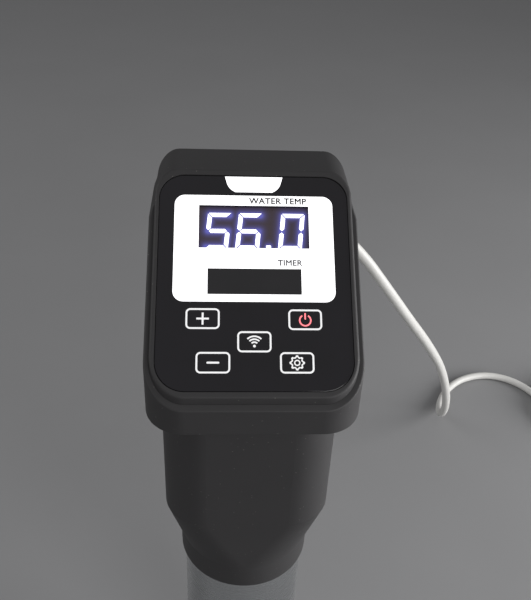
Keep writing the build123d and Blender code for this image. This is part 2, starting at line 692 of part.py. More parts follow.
with BuildPart() as neck_rear_shell:
    add(neck_shell(1))
    for x, z in CASE_SCREW_SPOTS:
        add(post(SEAT_HOLE_R, (x, CASE_SEAT_Y, z), (x, NECK_BACK_Y + OVERCUT, z)), mode=Mode.SUBTRACT)
        add(hole((x, 0, z), (x, CASE_SEAT_Y, z)), mode=Mode.SUBTRACT)
    for x, z in BRACKET_SCREW_PLACES:
        add(hole((x, NECK_BACK_Y - BRACKET_SCREW_L, z), (x, NECK_BACK_Y, z)), mode=Mode.SUBTRACT)
save(neck_rear_shell.part, "neck_rear_shell")

with BuildPart() as case_screws:
    for x, z in CASE_SCREW_SPOTS:
        with Locations(Location((x, CASE_SEAT_Y, z), (-90, 0, 0))):
            add(screw(CASE_SCREW_L))
save(case_screws.part, "case_screws")

# ---------------------------------------------------------------- collar and skirt
with BuildPart() as collar_ring:
    add(disc(SPIGOT_R, SPIGOT_Z, COLLAR_Z, COLLAR_BORE_R))
    add(disc(FOOT_R, COLLAR_Z, NECK_BOTTOM_Z, COLLAR_BORE_R))
    chamfer(collar_ring.faces().sort_by(SortBy.AREA)[-1].edges(), COLLAR_CHAMFER)
    add(disc(FOOT_SPIGOT_R, NECK_BOTTOM_Z, NECK_BOTTOM_Z + FOOT_SPIGOT_H, COLLAR_BORE_R))
    with BuildSketch(Plane.XY.offset(SPIGOT_Z)):
        with PolarLocations(BOSS_PLACE_R, len(BOSS_ANGLES), start_angle=BOSS_ANGLES[0]):
            Circle(BOSS_R)
    extrude(amount=NECK_BOTTOM_Z + FOOT_SPIGOT_H - SPIGOT_Z)
    with BuildSketch(Plane.XY.offset(SPIGOT_Z)):
        with PolarLocations(BOSS_PLACE_R, len(BOSS_ANGLES), start_angle=BOSS_ANGLES[0]):
            Circle(SCREW_R + THREAD_FIT)
    extrude(amount=NECK_BOTTOM_Z + FOOT_SPIGOT_H - SPIGOT_Z, mode=Mode.SUBTRACT)
    add(disc(SPIGOT_R + OVERCUT, O_RING_Z - O_RING_R - O_RING_SIDE_GAP, O_RING_Z + O_RING_R + O_RING_SIDE_GAP,
             SKIRT_IN_R - O_RING_FIT - 2 * O_RING_R), mode=Mode.SUBTRACT)
save(collar_ring.part, "collar_ring")

with BuildPart() as skirt_o_ring:
    with BuildSketch(Plane.XZ):
        with Locations((SKIRT_IN_R - O_RING_FIT - O_RING_R, O_RING_Z)):
            Circle(O_RING_R)
    revolve(axis=Axis.Z)
save(skirt_o_ring.part, "skirt_o_ring")

with BuildPart() as skirt:
    add(disc(SKIRT_R, SKIRT_BOTTOM_Z, SKIRT_TOP_Z, SKIRT_IN_R))
    for slot in range(INTAKE_SLOTS):
        with BuildSketch(Plane.XZ.rotated((0, 0, 360 / INTAKE_SLOTS * slot))):
            with Locations((0, INTAKE_Z)):
                SlotOverall(INTAKE_SLOT[1], INTAKE_SLOT[0], rotation=90)
        extrude(amount=SKIRT_R + OVERCUT, mode=Mode.SUBTRACT)
    for vent in range(VENT_HOLES):
        with BuildSketch(Plane.XZ.rotated((0, 0, 360 / VENT_HOLES * vent + VENT_TURN))):
            with Locations((0, VENT_Z)):
                Circle(VENT_R)
        extrude(amount=SKIRT_R + OVERCUT, mode=Mode.SUBTRACT)
    with BuildSketch(Plane.XY.offset(LUG_Z - LUG_H / 2 - LUG_FIT)):
        for lug in range(LUGS):
            add(wedge(SKIRT_R + OVERCUT, 360 / LUGS * lug + TWIST_ANGLE / 2,
                      LUG_ANGLE + TWIST_ANGLE + LUG_SIDE_FIT))
    extrude(amount=LUG_H + 2 * LUG_FIT, mode=Mode.SUBTRACT)
save(skirt.part, "skirt")

with BuildPart() as bottom_cap:
    add(disc(CAP_R, 0, CAP_H))
    chamfer(bottom_cap.faces().sort_by(Axis.Z)[0].edges(), CAP_FOOT_EDGE)
    fillet(bottom_cap.faces().sort_by(Axis.Z)[-1].edges(), CAP_LIP_R)
    add(disc(CAP_INNER_R, CAP_FLOOR_T, SKIRT_BOTTOM_Z), mode=Mode.SUBTRACT)
    add(disc(CAP_BORE_R, SKIRT_BOTTOM_Z - CAP_LEDGE_GAP, CAP_H), mode=Mode.SUBTRACT)
    for window in range(CAP_WINDOWS):
        with BuildSketch(Plane.XZ.rotated((0, 0, 360 / CAP_WINDOWS * window))):
            with Locations((0, CAP_WINDOW_Z)):
                RectangleRounded(*CAP_WINDOW, CAP_WINDOW_R)
        extrude(amount=CAP_R + OVERCUT, mode=Mode.SUBTRACT)
    with BuildSketch():
        with PolarLocations(CAP_GRILLE_R, CAP_GRILLE_SLOTS):
            SlotOverall(*CAP_GRILLE_SLOT)
    extrude(amount=CAP_FLOOR_T, mode=Mode.SUBTRACT)
    with BuildSketch(Plane.XY.offset(LUG_Z - LUG_H / 2)):
        for lug in range(LUGS):
            add(wedge(CAP_BORE_R + LUG_ROOT, 360 / LUGS * lug, LUG_ANGLE))
        Circle(SKIRT_IN_R - LUG_REACH, mode=Mode.SUBTRACT)
    extrude(amount=LUG_H)
save(bottom_cap.part, "bottom_cap")

# ---------------------------------------------------------------- heater and probes
heater_spots = [around_axis(HEATER_PLACE_R, angle) for angle in HEATER_ANGLES]
probe_spot = around_axis(PROBE_PLACE_R, PROBE_ANGLE)
level_spots = [(*around_axis(PROBE_PLACE_R, angle), end) for angle, end in LEVEL_PROBE_ENDS]

with BuildPart() as heater_plate:
    with BuildSketch(Plane.XY.offset(PLATE_Z)):
        Circle(SPIGOT_R)
        Circle(SHAFT_TUBE_R, mode=Mode.SUBTRACT)
        with Locations(heater_spots[0], heater_spots[-1]):
            Circle(HEATER_TUBE_R, mode=Mode.SUBTRACT)
        with Locations(probe_spot):
            Circle(PROBE_R, mode=Mode.SUBTRACT)
        with Locations(*[(x, y) for x, y, end in level_spots]):
            Circle(LEVEL_PROBE_R, mode=Mode.SUBTRACT)
        with PolarLocations(BOSS_PLACE_R, len(BOSS_ANGLES), start_angle=BOSS_ANGLES[0]):
            Circle(SCREW_R + SCREW_FIT, mode=Mode.SUBTRACT)
    extrude(amount=PLATE_T)
save(heater_plate.part, "heater_plate")

heater_route = []
for leg, (x, y) in enumerate(heater_spots):
    tops = SPIGOT_Z + HEATER_TAIL if leg in (0, HEATER_LEGS - 1) else HEATER_HIGH_Z
    ends = [(x, y, tops), (x, y, HEATER_LOW_Z)]
    heater_route += ends if leg % 2 == 0 else ends[::-1]
leg_spacing = 2 * HEATER_PLACE_R * sin(pi / HEATER_LEGS)
with BuildPart() as heater_coil:
    with BuildLine() as heater_line:
        FilletPolyline(*heater_route, radius=leg_spacing / 2 - HEATER_BEND_FLAT)
    with BuildSketch(Plane(origin=heater_route[0], z_dir=(0, 0, -1))):
        Circle(HEATER_TUBE_R)
    sweep(path=heater_line.wires()[0])
save(heater_coil.part, "heater_coil")

with BuildPart() as temp_probe:
    add(post(PROBE_R, (*probe_spot, PROBE_END_Z), (*probe_spot, SPIGOT_Z + PROBE_TAIL)))
    fillet(temp_probe.edges().group_by(Axis.Z)[0], PROBE_R - PROBE_TIP_FLAT)
save(temp_probe.part, "temp_probe")

with BuildPart() as level_probes:
    for x, y, end in level_spots:
        add(post(LEVEL_PROBE_R, (x, y, end), (x, y, SPIGOT_Z + PROBE_TAIL)))
save(level_probes.part, "level_probes")

with BuildPart() as plate_screws:
    for angle in BOSS_ANGLES:
        with Locations(Location((*around_axis(BOSS_PLACE_R, angle), PLATE_Z), (180, 0, 0))):
            add(screw(PLATE_SCREW_L))
save(plate_screws.part, "plate_screws")

with BuildPart() as shaft_tube:
    add(disc(SHAFT_TUBE_R, SHAFT_TUBE_END_Z, SPIGOT_Z, SHAFT_TUBE_R - SHAFT_TUBE_WALL))
save(shaft_tube.part, "shaft_tube")

with BuildPart() as shaft_bush:
    add(disc(SHAFT_TUBE_R - SHAFT_TUBE_WALL, SHAFT_TUBE_END_Z, SHAFT_TUBE_END_Z + BUSH_H, BORE_R))
save(shaft_bush.part, "shaft_bush")

with BuildPart() as shaft_seal:
    add(disc(SEAL_R, SPIGOT_Z, SPIGOT_Z + SEAL_H, BORE_R))
    fillet(shaft_seal.edges().group_by(Axis.Z)[-1].sort_by(Axis.X)[-1], SEAL_EDGE_R)
save(shaft_seal.part, "shaft_seal")

# ---------------------------------------------------------------- drive
with BuildPart() as drive_shaft:
    add(disc(SHAFT_R, SHAFT_BOTTOM_Z, SHAFT_JOIN_Z - SHAFT_JOIN_GAP / 2))
    chamfer(drive_shaft.edges().group_by(Axis.Z)[0], SHAFT_CHAMFER)
save(drive_shaft.part, "drive_shaft")

with BuildPart() as shaft_coupling:
    add(disc(COUPLING_R, COUPLING_BOTTOM_Z, COUPLING_BOTTOM_Z + COUPLING_H, SHAFT_R))
    for z in (COUPLING_BOTTOM_Z + GRUB_SCREW_INSET, COUPLING_BOTTOM_Z + COUPLING_H - GRUB_SCREW_INSET):
        add(post(GRUB_SCREW_R, (0, 0, z), (COUPLING_R + OVERCUT, 0, z)), mode=Mode.SUBTRACT)
save(shaft_coupling.part, "shaft_coupling")

with BuildPart() as impeller:
    add(disc(IMPELLER_HUB_R, IMPELLER_BOTTOM_Z, IMPELLER_TOP_Z, SHAFT_R))
    add(disc(IMPELLER_R, IMPELLER_TOP_Z - IMPELLER_DISC_T, IMPELLER_TOP_Z, SHAFT_R))
    with BuildSketch(Plane.XY.offset(IMPELLER_BOTTOM_Z)):
        for blade in range(IMPELLER_BLADES):
            turn = 360 / IMPELLER_BLADES * blade
            tip_r = IMPELLER_R - BLADE_TIP_GAP
            with BuildLine() as blade_line:
                ThreePointArc(around_axis(IMPELLER_HUB_R - BLADE_ROOT, turn),
                              around_axis(BLADE_MID_SHARE * tip_r, turn + BLADE_SWEEPS[0]),
                              around_axis(tip_r, turn + BLADE_SWEEPS[1]))
            trace(lines=blade_line.edges(), line_width=BLADE_T)
    extrude(amount=IMPELLER_H - IMPELLER_DISC_T)
save(impeller.part, "impeller")

with BuildPart() as impeller_nut:
    with BuildSketch(Plane.XY.offset(IMPELLER_BOTTOM_Z - NUT_H)):
        RegularPolygon(NUT_FLATS / 2, 6, major_radius=False)
    extrude(amount=NUT_H)
    add(disc(SHAFT_R, SHAFT_BOTTOM_Z, IMPELLER_BOTTOM_Z), mode=Mode.SUBTRACT)
save(impeller_nut.part, "impeller_nut")

# ---------------------------------------------------------------- motor
with BuildPart() as motor_grommets:
    for angle in BOSS_ANGLES:
        x, y = around_axis(BOSS_PLACE_R, angle)
        add(post(GROMMET_R, (x, y, MOUNT_Z - GROMMET_H), (x, y, MOUNT_Z), SCREW_R + SCREW_FIT))
save(motor_grommets.part, "motor_grommets")

with BuildPart() as motor_mount:
    with BuildSketch(Plane.XY.offset(MOUNT_Z)):
        Circle(MOUNT_PLATE_R)
        Circle(BEARING_R + MOUNT_BORE_GAP, mode=Mode.SUBTRACT)
        with PolarLocations(BOSS_PLACE_R, len(BOSS_ANGLES), start_angle=BOSS_ANGLES[0]):
            Circle(SCREW_R + SCREW_FIT, mode=Mode.SUBTRACT)
        with Locations((MOTOR_SCREW_PLACE_R, 0), (-MOTOR_SCREW_PLACE_R, 0)):
            Circle(SCREW_R + SCREW_FIT, mode=Mode.SUBTRACT)
    extrude(amount=MOUNT_PLATE_T)
save(motor_mount.part, "motor_mount")

with BuildPart() as mount_screws:
    for angle in BOSS_ANGLES:
        with Locations((*around_axis(BOSS_PLACE_R, angle), MOTOR_Z)):
            add(screw(MOUNT_SCREW_L))
    for x in (MOTOR_SCREW_PLACE_R, -MOTOR_SCREW_PLACE_R):
        with Locations(Location((x, 0, MOUNT_Z), (180, 0, 0))):
            add(screw(MOUNT_PLATE_T + MOTOR_FLOOR_T - SEAT_FIT))
save(mount_screws.part, "mount_screws")

with BuildPart() as motor_can:
    add(disc(MOTOR_R, MOTOR_Z, MOTOR_TOP_Z, BEARING_R))
    fillet(motor_can.edges().group_by(Axis.Z)[0].sort_by(SortBy.LENGTH)[-1], MOTOR_EDGE_R)
    add(disc(MOTOR_R - MOTOR_WALL, MOTOR_FLOOR_Z, MOTOR_TOP_Z), mode=Mode.SUBTRACT)
    with BuildSketch(Plane.XY.offset(MOTOR_Z)):
        with Locations((MOTOR_SCREW_PLACE_R, 0), (-MOTOR_SCREW_PLACE_R, 0)):
            Circle(SCREW_R)
    extrude(amount=MOTOR_FLOOR_T, mode=Mode.SUBTRACT)
save(motor_can.part, "motor_can")

MAGNET_OUT_R = MOTOR_R - MOTOR_WALL
ARMATURE_R = MAGNET_OUT_R - MAGNET_T - AIR_GAP
MAGNET_Z = (MOTOR_FLOOR_Z + MOTOR_TOP_Z - MAGNET_H) / 2
with BuildPart() as motor_magnets:
    add(disc(MAGNET_OUT_R, MAGNET_Z, MAGNET_Z + MAGNET_H, MAGNET_OUT_R - MAGNET_T))
    with BuildSketch(Plane.XY.offset(MAGNET_Z)):
        for side in (0, 180):
            add(wedge(MOTOR_R, side, 180 - MAGNET_ARC))
    extrude(amount=MAGNET_H, mode=Mode.SUBTRACT)
save(motor_magnets.part, "motor_magnets")

with BuildPart() as motor_end_cap:
    add(disc(MOTOR_R, MOTOR_TOP_Z, MOTOR_TOP_Z + END_CAP_T, BEARING_R))
    fillet(motor_end_cap.edges().group_by(Axis.Z)[-1].sort_by(SortBy.LENGTH)[-1], MOTOR_EDGE_R)
save(motor_end_cap.part, "motor_end_cap")

with BuildPart() as motor_bearings:
    add(disc(BEARING_R, MOTOR_Z, MOTOR_Z + BEARING_H, BORE_R))
    add(disc(BEARING_R, MOTOR_TOP_Z, MOTOR_TOP_Z + BEARING_H, BORE_R))
save(motor_bearings.part, "motor_bearings")

ARMATURE_Z = MAGNET_Z + (MAGNET_H - ARMATURE_H) / 2
with BuildPart() as motor_armature:
    add(disc(ARMATURE_R, ARMATURE_Z, ARMATURE_Z + ARMATURE_H, SHAFT_R))
    for slot in range(ARMATURE_SLOTS):
        turn = 360 / ARMATURE_SLOTS * slot
        with BuildSketch(Plane.XZ.rotated((0, 0, turn))):
            with Locations((0, ARMATURE_Z + ARMATURE_H / 2)):
                Rectangle(ARMATURE_SLOT_W, ARMATURE_H)
        extrude(amount=ARMATURE_R + OVERCUT, mode=Mode.SUBTRACT)
    add(disc(ARMATURE_R * ARMATURE_CORE_SHARE, ARMATURE_Z, ARMATURE_Z + ARMATURE_H, SHAFT_R))
    add(disc(COMMUTATOR_R, ARMATURE_Z + ARMATURE_H, ARMATURE_Z + ARMATURE_H + COMMUTATOR_H, SHAFT_R))
save(motor_armature.part, "motor_armature")

with BuildPart() as motor_shaft:
    add(disc(SHAFT_R, SHAFT_JOIN_Z + SHAFT_JOIN_GAP / 2, MOTOR_SHAFT_TOP_Z))
    chamfer(motor_shaft.edges().group_by(Axis.Z)[-1], SHAFT_CHAMFER)
save(motor_shaft.part, "motor_shaft")

with BuildPart() as cooling_fan:
    add(disc(FAN_HUB_R, FAN_Z, FAN_Z + FAN_H, SHAFT_R))
    for blade in range(FAN_BLADES):
        turn = 360 / FAN_BLADES * blade
        blade_plane = Plane.XZ.rotated((0, 0, turn)).offset(FAN_HUB_R - FAN_BLADE_ROOT)
        with BuildSketch(blade_plane):
            with Locations((0, FAN_Z + FAN_H / 2)):
                Rectangle(*FAN_BLADE, rotation=FAN_PITCH)
        extrude(amount=FAN_R - FAN_HUB_R)
save(cooling_fan.part, "cooling_fan")

# ---------------------------------------------------------------- power electronics
BOARD_BACK_Y = POWER_BOARD_Y + BOARD_T


def on_power_board(size, place):
    """Square-cornered component on the front of the power board: (wide, deep, high) at (across, up)."""
    with BuildPart() as component:
        with BuildSketch(Plane.XZ.offset(-POWER_BOARD_Y)):
            with Locations((place[0], POWER_BOARD_Z + place[1])):
                Rectangle(size[0], size[2])
        extrude(amount=size[1])
    return component.part


with BuildPart() as power_board:
    with BuildSketch(Plane.XZ.offset(-BOARD_BACK_Y)):
        with Locations((0, POWER_BOARD_Z)):
            Rectangle(*POWER_BOARD, align=(Align.CENTER, Align.MIN))
    extrude(amount=BOARD_T)
save(power_board.part, "power_board")

with BuildPart() as transformer:
    add(on_power_board(TRANSFORMER, TRANSFORMER_PLACE))
    fillet(transformer.edges().filter_by(Axis.Y), TRANSFORMER_EDGE_R)
save(transformer.part, "transformer")

with BuildPart() as relay:
    add(on_power_board(RELAY, RELAY_PLACE))
    fillet(relay.edges().filter_by(Axis.Y), RELAY_EDGE_R)
save(relay.part, "relay")

with BuildPart() as capacitors:
    for x, rise in CAPACITOR_PLACES:
        z = POWER_BOARD_Z + rise
        add(post(CAPACITOR[0], (x, POWER_BOARD_Y, z), (x, POWER_BOARD_Y - CAPACITOR[1], z)))
save(capacitors.part, "capacitors")

with BuildPart() as heatsink:
    add(on_power_board(HEATSINK, HEATSINK_PLACE))
    fin_pitch = HEATSINK[0] / HEATSINK_FINS
    with BuildSketch(Plane.XY.offset(POWER_BOARD_Z + HEATSINK_PLACE[1] - HEATSINK[2] / 2)):
        for fin in range(HEATSINK_FINS - 1):
            gap_x = HEATSINK_PLACE[0] - HEATSINK[0] / 2 + (fin + 1) * fin_pitch
            with Locations((gap_x, POWER_BOARD_Y - HEATSINK[1])):
                Rectangle(fin_pitch / 2, 2 * (HEATSINK[1] - HEATSINK_BASE))
    extrude(amount=HEATSINK[2], mode=Mode.SUBTRACT)
save(heatsink.part, "heatsink")

# ---------------------------------------------------------------- pot clamp
def clamp_bar(radius, start_y, end_y, bore=0.0):
    """Round bar on the clamp screw's axis."""
    return post(radius, (0, start_y, CLAMP_AXIS_Z), (0, end_y, CLAMP_AXIS_Z), bore)


with BuildPart() as clamp_bracket:
    with BuildSketch(Plane.YZ.offset(-CLAMP_W / 2)) as profile:
        with BuildLine():
            Polyline(
                (NECK_BACK_Y, CLAMP_TOP_Z), (LEG_BACK_Y, CLAMP_TOP_Z), (LEG_BACK_Y, CLAMP_LEG_BOTTOM_Z),
                (LEG_Y, CLAMP_LEG_BOTTOM_Z), (LEG_Y, CLAMP_TOP_Z - CLAMP_ARM_T),
                (NECK_BACK_Y + CLAMP_PLATE_T, CLAMP_TOP_Z - CLAMP_ARM_T),
                (NECK_BACK_Y + CLAMP_PLATE_T, CLAMP_TOP_Z - CLAMP_PLATE_H),
                (NECK_BACK_Y, CLAMP_TOP_Z - CLAMP_PLATE_H), close=True,
            )
        make_face()
        fillet(profile.vertices().sort_by_distance((LEG_BACK_Y, CLAMP_TOP_Z))[0], CLAMP_ARM_T)
        fillet(profile.vertices().sort_by_distance((LEG_Y, CLAMP_TOP_Z - CLAMP_ARM_T))[0], CLAMP_ARM_T / 2)
    extrude(amount=CLAMP_W)
    leg_corners = clamp_bracket.edges().filter_by(Axis.Y).filter_by_position(
        Axis.Z, CLAMP_LEG_BOTTOM_Z - 1, CLAMP_LEG_BOTTOM_Z + 1)
    fillet(leg_corners, CLAMP_LEG_CORNER_R)
    add(clamp_bar(NUT_INSERT_R, LEG_Y, LEG_BACK_Y), mode=Mode.SUBTRACT)
    for x, z in BRACKET_SCREW_PLACES:
        add(hole((x, NECK_BACK_Y, z), (x, BRACKET_SEAT_Y, z)), mode=Mode.SUBTRACT)
        add(post(SEAT_HOLE_R, (x, BRACKET_SEAT_Y, z), (x, NECK_BACK_Y + CLAMP_PLATE_T, z)),
            mode=Mode.SUBTRACT)
save(clamp_bracket.part, "clamp_bracket")

with BuildPart() as bracket_screws:
    for x, z in BRACKET_SCREW_PLACES:
        with Locations(Location((x, BRACKET_SEAT_Y, z), (-90, 0, 0))):
            add(screw(BRACKET_SCREW_L))
save(bracket_screws.part, "bracket_screws")

with BuildPart() as clamp_nut:
    add(clamp_bar(NUT_INSERT_R, LEG_Y, LEG_BACK_Y, SPINDLE_R + RUN_FIT))
save(clamp_nut.part, "clamp_nut")

with BuildPart() as jaw_pad:
    with BuildSketch(Plane.XZ.offset(-NECK_BACK_Y)):
        with Locations((0, CLAMP_AXIS_Z)):
            RectangleRounded(JAW_PAD[0], JAW_PAD[2], JAW_PAD_CORNER_R)
    extrude(amount=-JAW_PAD[1])
    fillet(jaw_pad.faces().sort_by(Axis.Y)[-1].edges(), JAW_PAD_EDGE_R)
save(jaw_pad.part, "jaw_pad")

SOCKET_BACK_Y = PAD_FACE_Y + PAD_T + PAD_SOCKET_H
SPINDLE_TIP_Y = PAD_FACE_Y + PAD_T / 2 + RUN_FIT
with BuildPart() as clamp_pad:
    add(clamp_bar(PAD_R, PAD_FACE_Y, PAD_FACE_Y + PAD_T))
    fillet(clamp_pad.edges().group_by(Axis.Y)[0], PAD_EDGE_R)
    add(clamp_bar(PAD_SOCKET_R, PAD_FACE_Y + PAD_T, SOCKET_BACK_Y))
    add(clamp_bar(SPINDLE_R + RUN_FIT, PAD_FACE_Y + PAD_T / 2, SOCKET_BACK_Y), mode=Mode.SUBTRACT)
save(clamp_pad.part, "clamp_pad")

with BuildPart() as clamp_spindle:
    add(clamp_bar(SPINDLE_R, SPINDLE_TIP_Y, KNOB_Y + KNOB_T / 2))
    chamfer(clamp_spindle.edges().group_by(Axis.Y)[0], SPINDLE_CHAMFER)
save(clamp_spindle.part, "clamp_spindle")

with BuildPart() as clamp_knob:
    with BuildSketch(Plane.XZ.offset(-KNOB_Y)):
        with Locations((0, CLAMP_AXIS_Z)):
            Circle(KNOB_R)
        for lobe in range(KNOB_LOBES):
            x, rise = around_axis(KNOB_R + KNOB_SCALLOP_OUT, 360 / KNOB_LOBES * lobe)
            with Locations((x, CLAMP_AXIS_Z + rise)):
                Circle(KNOB_SCALLOP_R, mode=Mode.SUBTRACT)
    extrude(amount=-KNOB_T)
    fillet(clamp_knob.faces().sort_by(Axis.Y)[-1].edges(), KNOB_EDGE_R)
    add(clamp_bar(SPINDLE_R, KNOB_Y, KNOB_Y + KNOB_T / 2), mode=Mode.SUBTRACT)
save(clamp_knob.part, "clamp_knob")

# ---------------------------------------------------------------- mains lead
RELIEF_TIP_Y = COLLAR_REAR_Y + RELIEF_L
with BuildPart() as strain_relief:
    with BuildSketch(Plane.YZ):
        with BuildLine():
            Polyline(
                (RELIEF_FLANGE_Y, CORD_EXIT_Z), (RELIEF_FLANGE_Y, CORD_EXIT_Z + RELIEF_FLANGE_R),
                (HEAD_REAR_Y - SHELL_WALL, CORD_EXIT_Z + RELIEF_FLANGE_R),
                (HEAD_REAR_Y - SHELL_WALL, CORD_EXIT_Z + RELIEF_NECK_R),
                (COLLAR_REAR_Y, CORD_EXIT_Z + RELIEF_NECK_R), (COLLAR_REAR_Y, CORD_EXIT_Z + RELIEF_ROOT_R),
                (RELIEF_TIP_Y, CORD_EXIT_Z + RELIEF_TIP_R), (RELIEF_TIP_Y, CORD_EXIT_Z), close=True,
            )
        make_face()
        for groove in range(RELIEF_GROOVES):
            share = (groove + 1) / (RELIEF_GROOVES + 1)
            edge_r = RELIEF_ROOT_R + (RELIEF_TIP_R - RELIEF_ROOT_R) * share
            with Locations((COLLAR_REAR_Y + RELIEF_L * share, CORD_EXIT_Z + edge_r)):
                Rectangle(*RELIEF_GROOVE, mode=Mode.SUBTRACT)
    revolve(axis=Axis((0, 0, CORD_EXIT_Z), (0, 1, 0)))
save(strain_relief.part, "strain_relief")

# The lead leaves the relief, hangs down behind the head and sweeps to the right
# along the surface; the rest of its length lies wound in a flat round coil.
# Its points are (across, behind the relief's tip, up).
CORD_RUN = [
    (0, 0, CORD_EXIT_Z), (0, 17.7, CORD_EXIT_Z), (6, 35.7, 336), (17, 49.7, 327), (34, 57.7, 314),
    (54, 58.7, 298), (76, 57.7, 278), (97, 59.7, 249), (117, 68.7, 219), (140, 87.7, 183),
    (162, 110.7, 143), (181, 137.7, 97), (195, 163.7, 53), (202, 185.7, 22), (206, 205.7, 6.5),
    (213, 226.7, CORD_R), (227, 246.7, CORD_R), (248, 261.7, CORD_R), (275, 266.7, CORD_R),
    (300, 255.7, CORD_R), (317, 232.7, CORD_R), (320, 203.7, CORD_R),
]
CORD_ROUTE = [(across, RELIEF_TIP_Y + behind, up) for across, behind, up in CORD_RUN]
CORD_ARC_SHARE = 0.45


def corner_radii(route):
    """Arc radius at each corner: a share of the shorter run over the tangent of half the turn."""
    radii = []
    for before, corner, after in zip(route, route[1:], route[2:]):
        arriving, leaving = Vector(*corner) - Vector(*before), Vector(*after) - Vector(*corner)
        half_turn = radians(arriving.get_angle(leaving)) / 2
        radii.append(CORD_ARC_SHARE * min(arriving.length, leaving.length) / tan(half_turn))
    return radii


CORD_RADII = corner_radii(CORD_ROUTE)
print("cord radii", [round(radius) for radius in CORD_RADII])

with BuildPart() as power_cord:
    with BuildLine() as cord_line:
        FilletPolyline(*CORD_ROUTE, radius=CORD_RADII)
    with BuildSketch(Plane(origin=CORD_ROUTE[0], z_dir=Vector(*CORD_ROUTE[1]) - Vector(*CORD_ROUTE[0]))):
        Circle(CORD_R)
    sweep(path=cord_line.wires()[0])
print("cord tube", round(cord_line.wires()[0].length, 1), "volume ratio",
      round(power_cord.part.volume / (pi * CORD_R**2 * cord_line.wires()[0].length), 4))
save(power_cord.part, "power_cord")

# The coil turns to the left of the tube's end, which runs in along its outer turn.
COIL_W = 2 * COIL_LAYERS * CORD_R
COIL_OUTER_R = COIL_INNER_R + COIL_W
LEAD_IN_R = COIL_OUTER_R - CORD_R
cord_end = Vector(*CORD_ROUTE[-1])
end_heading = (cord_end - Vector(*CORD_ROUTE[-2])).normalized()
COIL_CENTRE = cord_end + Vector(-end_heading.Y, end_heading.X, 0) * LEAD_IN_R
with BuildPart() as cord_coil:
    with BuildSketch(Plane(origin=(COIL_CENTRE.X, COIL_CENTRE.Y, 0))):
        Circle(COIL_OUTER_R)
        Circle(COIL_INNER_R, mode=Mode.SUBTRACT)
    extrude(amount=COIL_W)
    fillet(cord_coil.edges(), CORD_R * COIL_EDGE_SHARE)
save(cord_coil.part, "cord_coil")

# The plug lies beside the coil, pins to the right, on the tangent of the last turn.
PLUG_Y = COIL_CENTRE.Y - LEAD_IN_R
PLUG_Z = PLUG[2] / 2
PLUG_BODY_X = COIL_CENTRE.X + sqrt(COIL_OUTER_R**2 - (LEAD_IN_R - PLUG[0] / 2) ** 2) + PLUG_COIL_GAP
PIN_X = PLUG_BODY_X + PLUG[1]
PIN_Z = PLUG_Z + BLADE_RISE
GRIP_X = PLUG_BODY_X + PLUG[1] * PLUG_GRIP_SHARE
with BuildPart() as plug_body:
    with BuildSketch(Plane.YZ.offset(PLUG_BODY_X)):
        with Locations((PLUG_Y, PLUG_Z)):
            RectangleRounded(PLUG[0] - PLUG_TAPER[0], PLUG[2] - PLUG_TAPER[1], PLUG_CORNER_R)
    with BuildSketch(Plane.YZ.offset(GRIP_X)):
        with Locations((PLUG_Y, PLUG_Z)):
            RectangleRounded(PLUG[0], PLUG[2], PLUG_CORNER_R)
    loft()
    with BuildSketch(Plane.YZ.offset(GRIP_X)):
        with Locations((PLUG_Y, PLUG_Z)):
            RectangleRounded(PLUG[0], PLUG[2], PLUG_CORNER_R)
    extrude(amount=PIN_X - GRIP_X)
    fillet(plug_body.faces().sort_by(Axis.X)[-1].edges(), PLUG_FACE_R)
    with BuildSketch(Plane.YZ.offset(PLUG_BODY_X)):
        with Locations((PLUG_Y, PLUG_Z)):
            Circle(RELIEF_ROOT_R)
    with BuildSketch(Plane.YZ.offset(PLUG_BODY_X - PLUG_TAIL)):
        with Locations((PLUG_Y, PLUG_Z)):
            Circle(RELIEF_TIP_R)
    loft()
    add(cord_coil.part, mode=Mode.SUBTRACT)
save(plug_body.part, "plug_body")

with BuildPart() as plug_pins:
    with BuildSketch(Plane.YZ.offset(PIN_X)):
        with Locations((PLUG_Y - BLADE_SPACING / 2, PIN_Z), (PLUG_Y + BLADE_SPACING / 2, PIN_Z)):
            Rectangle(BLADE[0], BLADE[1])
    extrude(amount=BLADE[2])
    chamfer(plug_pins.edges().group_by(Axis.X)[-1], PIN_CHAMFER)
    earth = (PIN_X, PLUG_Y, PIN_Z - EARTH_OFFSET)
    add(post(EARTH_PIN[0], earth, (PIN_X + EARTH_PIN[1], earth[1], earth[2])))
save(plug_pins.part, "plug_pins")
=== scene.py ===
import logging
from dataclasses import dataclass, field
from enum import Enum
from math import cos, pi, radians, sin, tan

import bpy
import numpy as np
from mathutils import Matrix, Vector


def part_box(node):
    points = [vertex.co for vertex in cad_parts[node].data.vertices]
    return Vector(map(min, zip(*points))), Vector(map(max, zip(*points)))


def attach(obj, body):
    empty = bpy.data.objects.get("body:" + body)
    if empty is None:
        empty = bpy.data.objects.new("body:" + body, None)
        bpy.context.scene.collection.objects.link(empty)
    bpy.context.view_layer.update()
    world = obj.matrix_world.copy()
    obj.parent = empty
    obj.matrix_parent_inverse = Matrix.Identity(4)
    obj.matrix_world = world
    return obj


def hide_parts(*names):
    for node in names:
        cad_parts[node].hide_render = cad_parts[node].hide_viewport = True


# Looks of the sous vide circulator: its control panel, finishes, clamp thread and mains lead.
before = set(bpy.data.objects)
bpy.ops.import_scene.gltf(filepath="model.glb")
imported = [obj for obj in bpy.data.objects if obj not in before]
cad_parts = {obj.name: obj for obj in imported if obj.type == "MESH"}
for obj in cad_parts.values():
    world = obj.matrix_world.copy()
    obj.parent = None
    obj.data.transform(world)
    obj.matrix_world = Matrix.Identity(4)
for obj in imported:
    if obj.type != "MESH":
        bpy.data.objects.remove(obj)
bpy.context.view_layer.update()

LOG = logging.getLogger("circulator")
MM = 0.001
PANEL_TILT = radians(38.0)
LENS_THICKNESS = 2.0 * MM
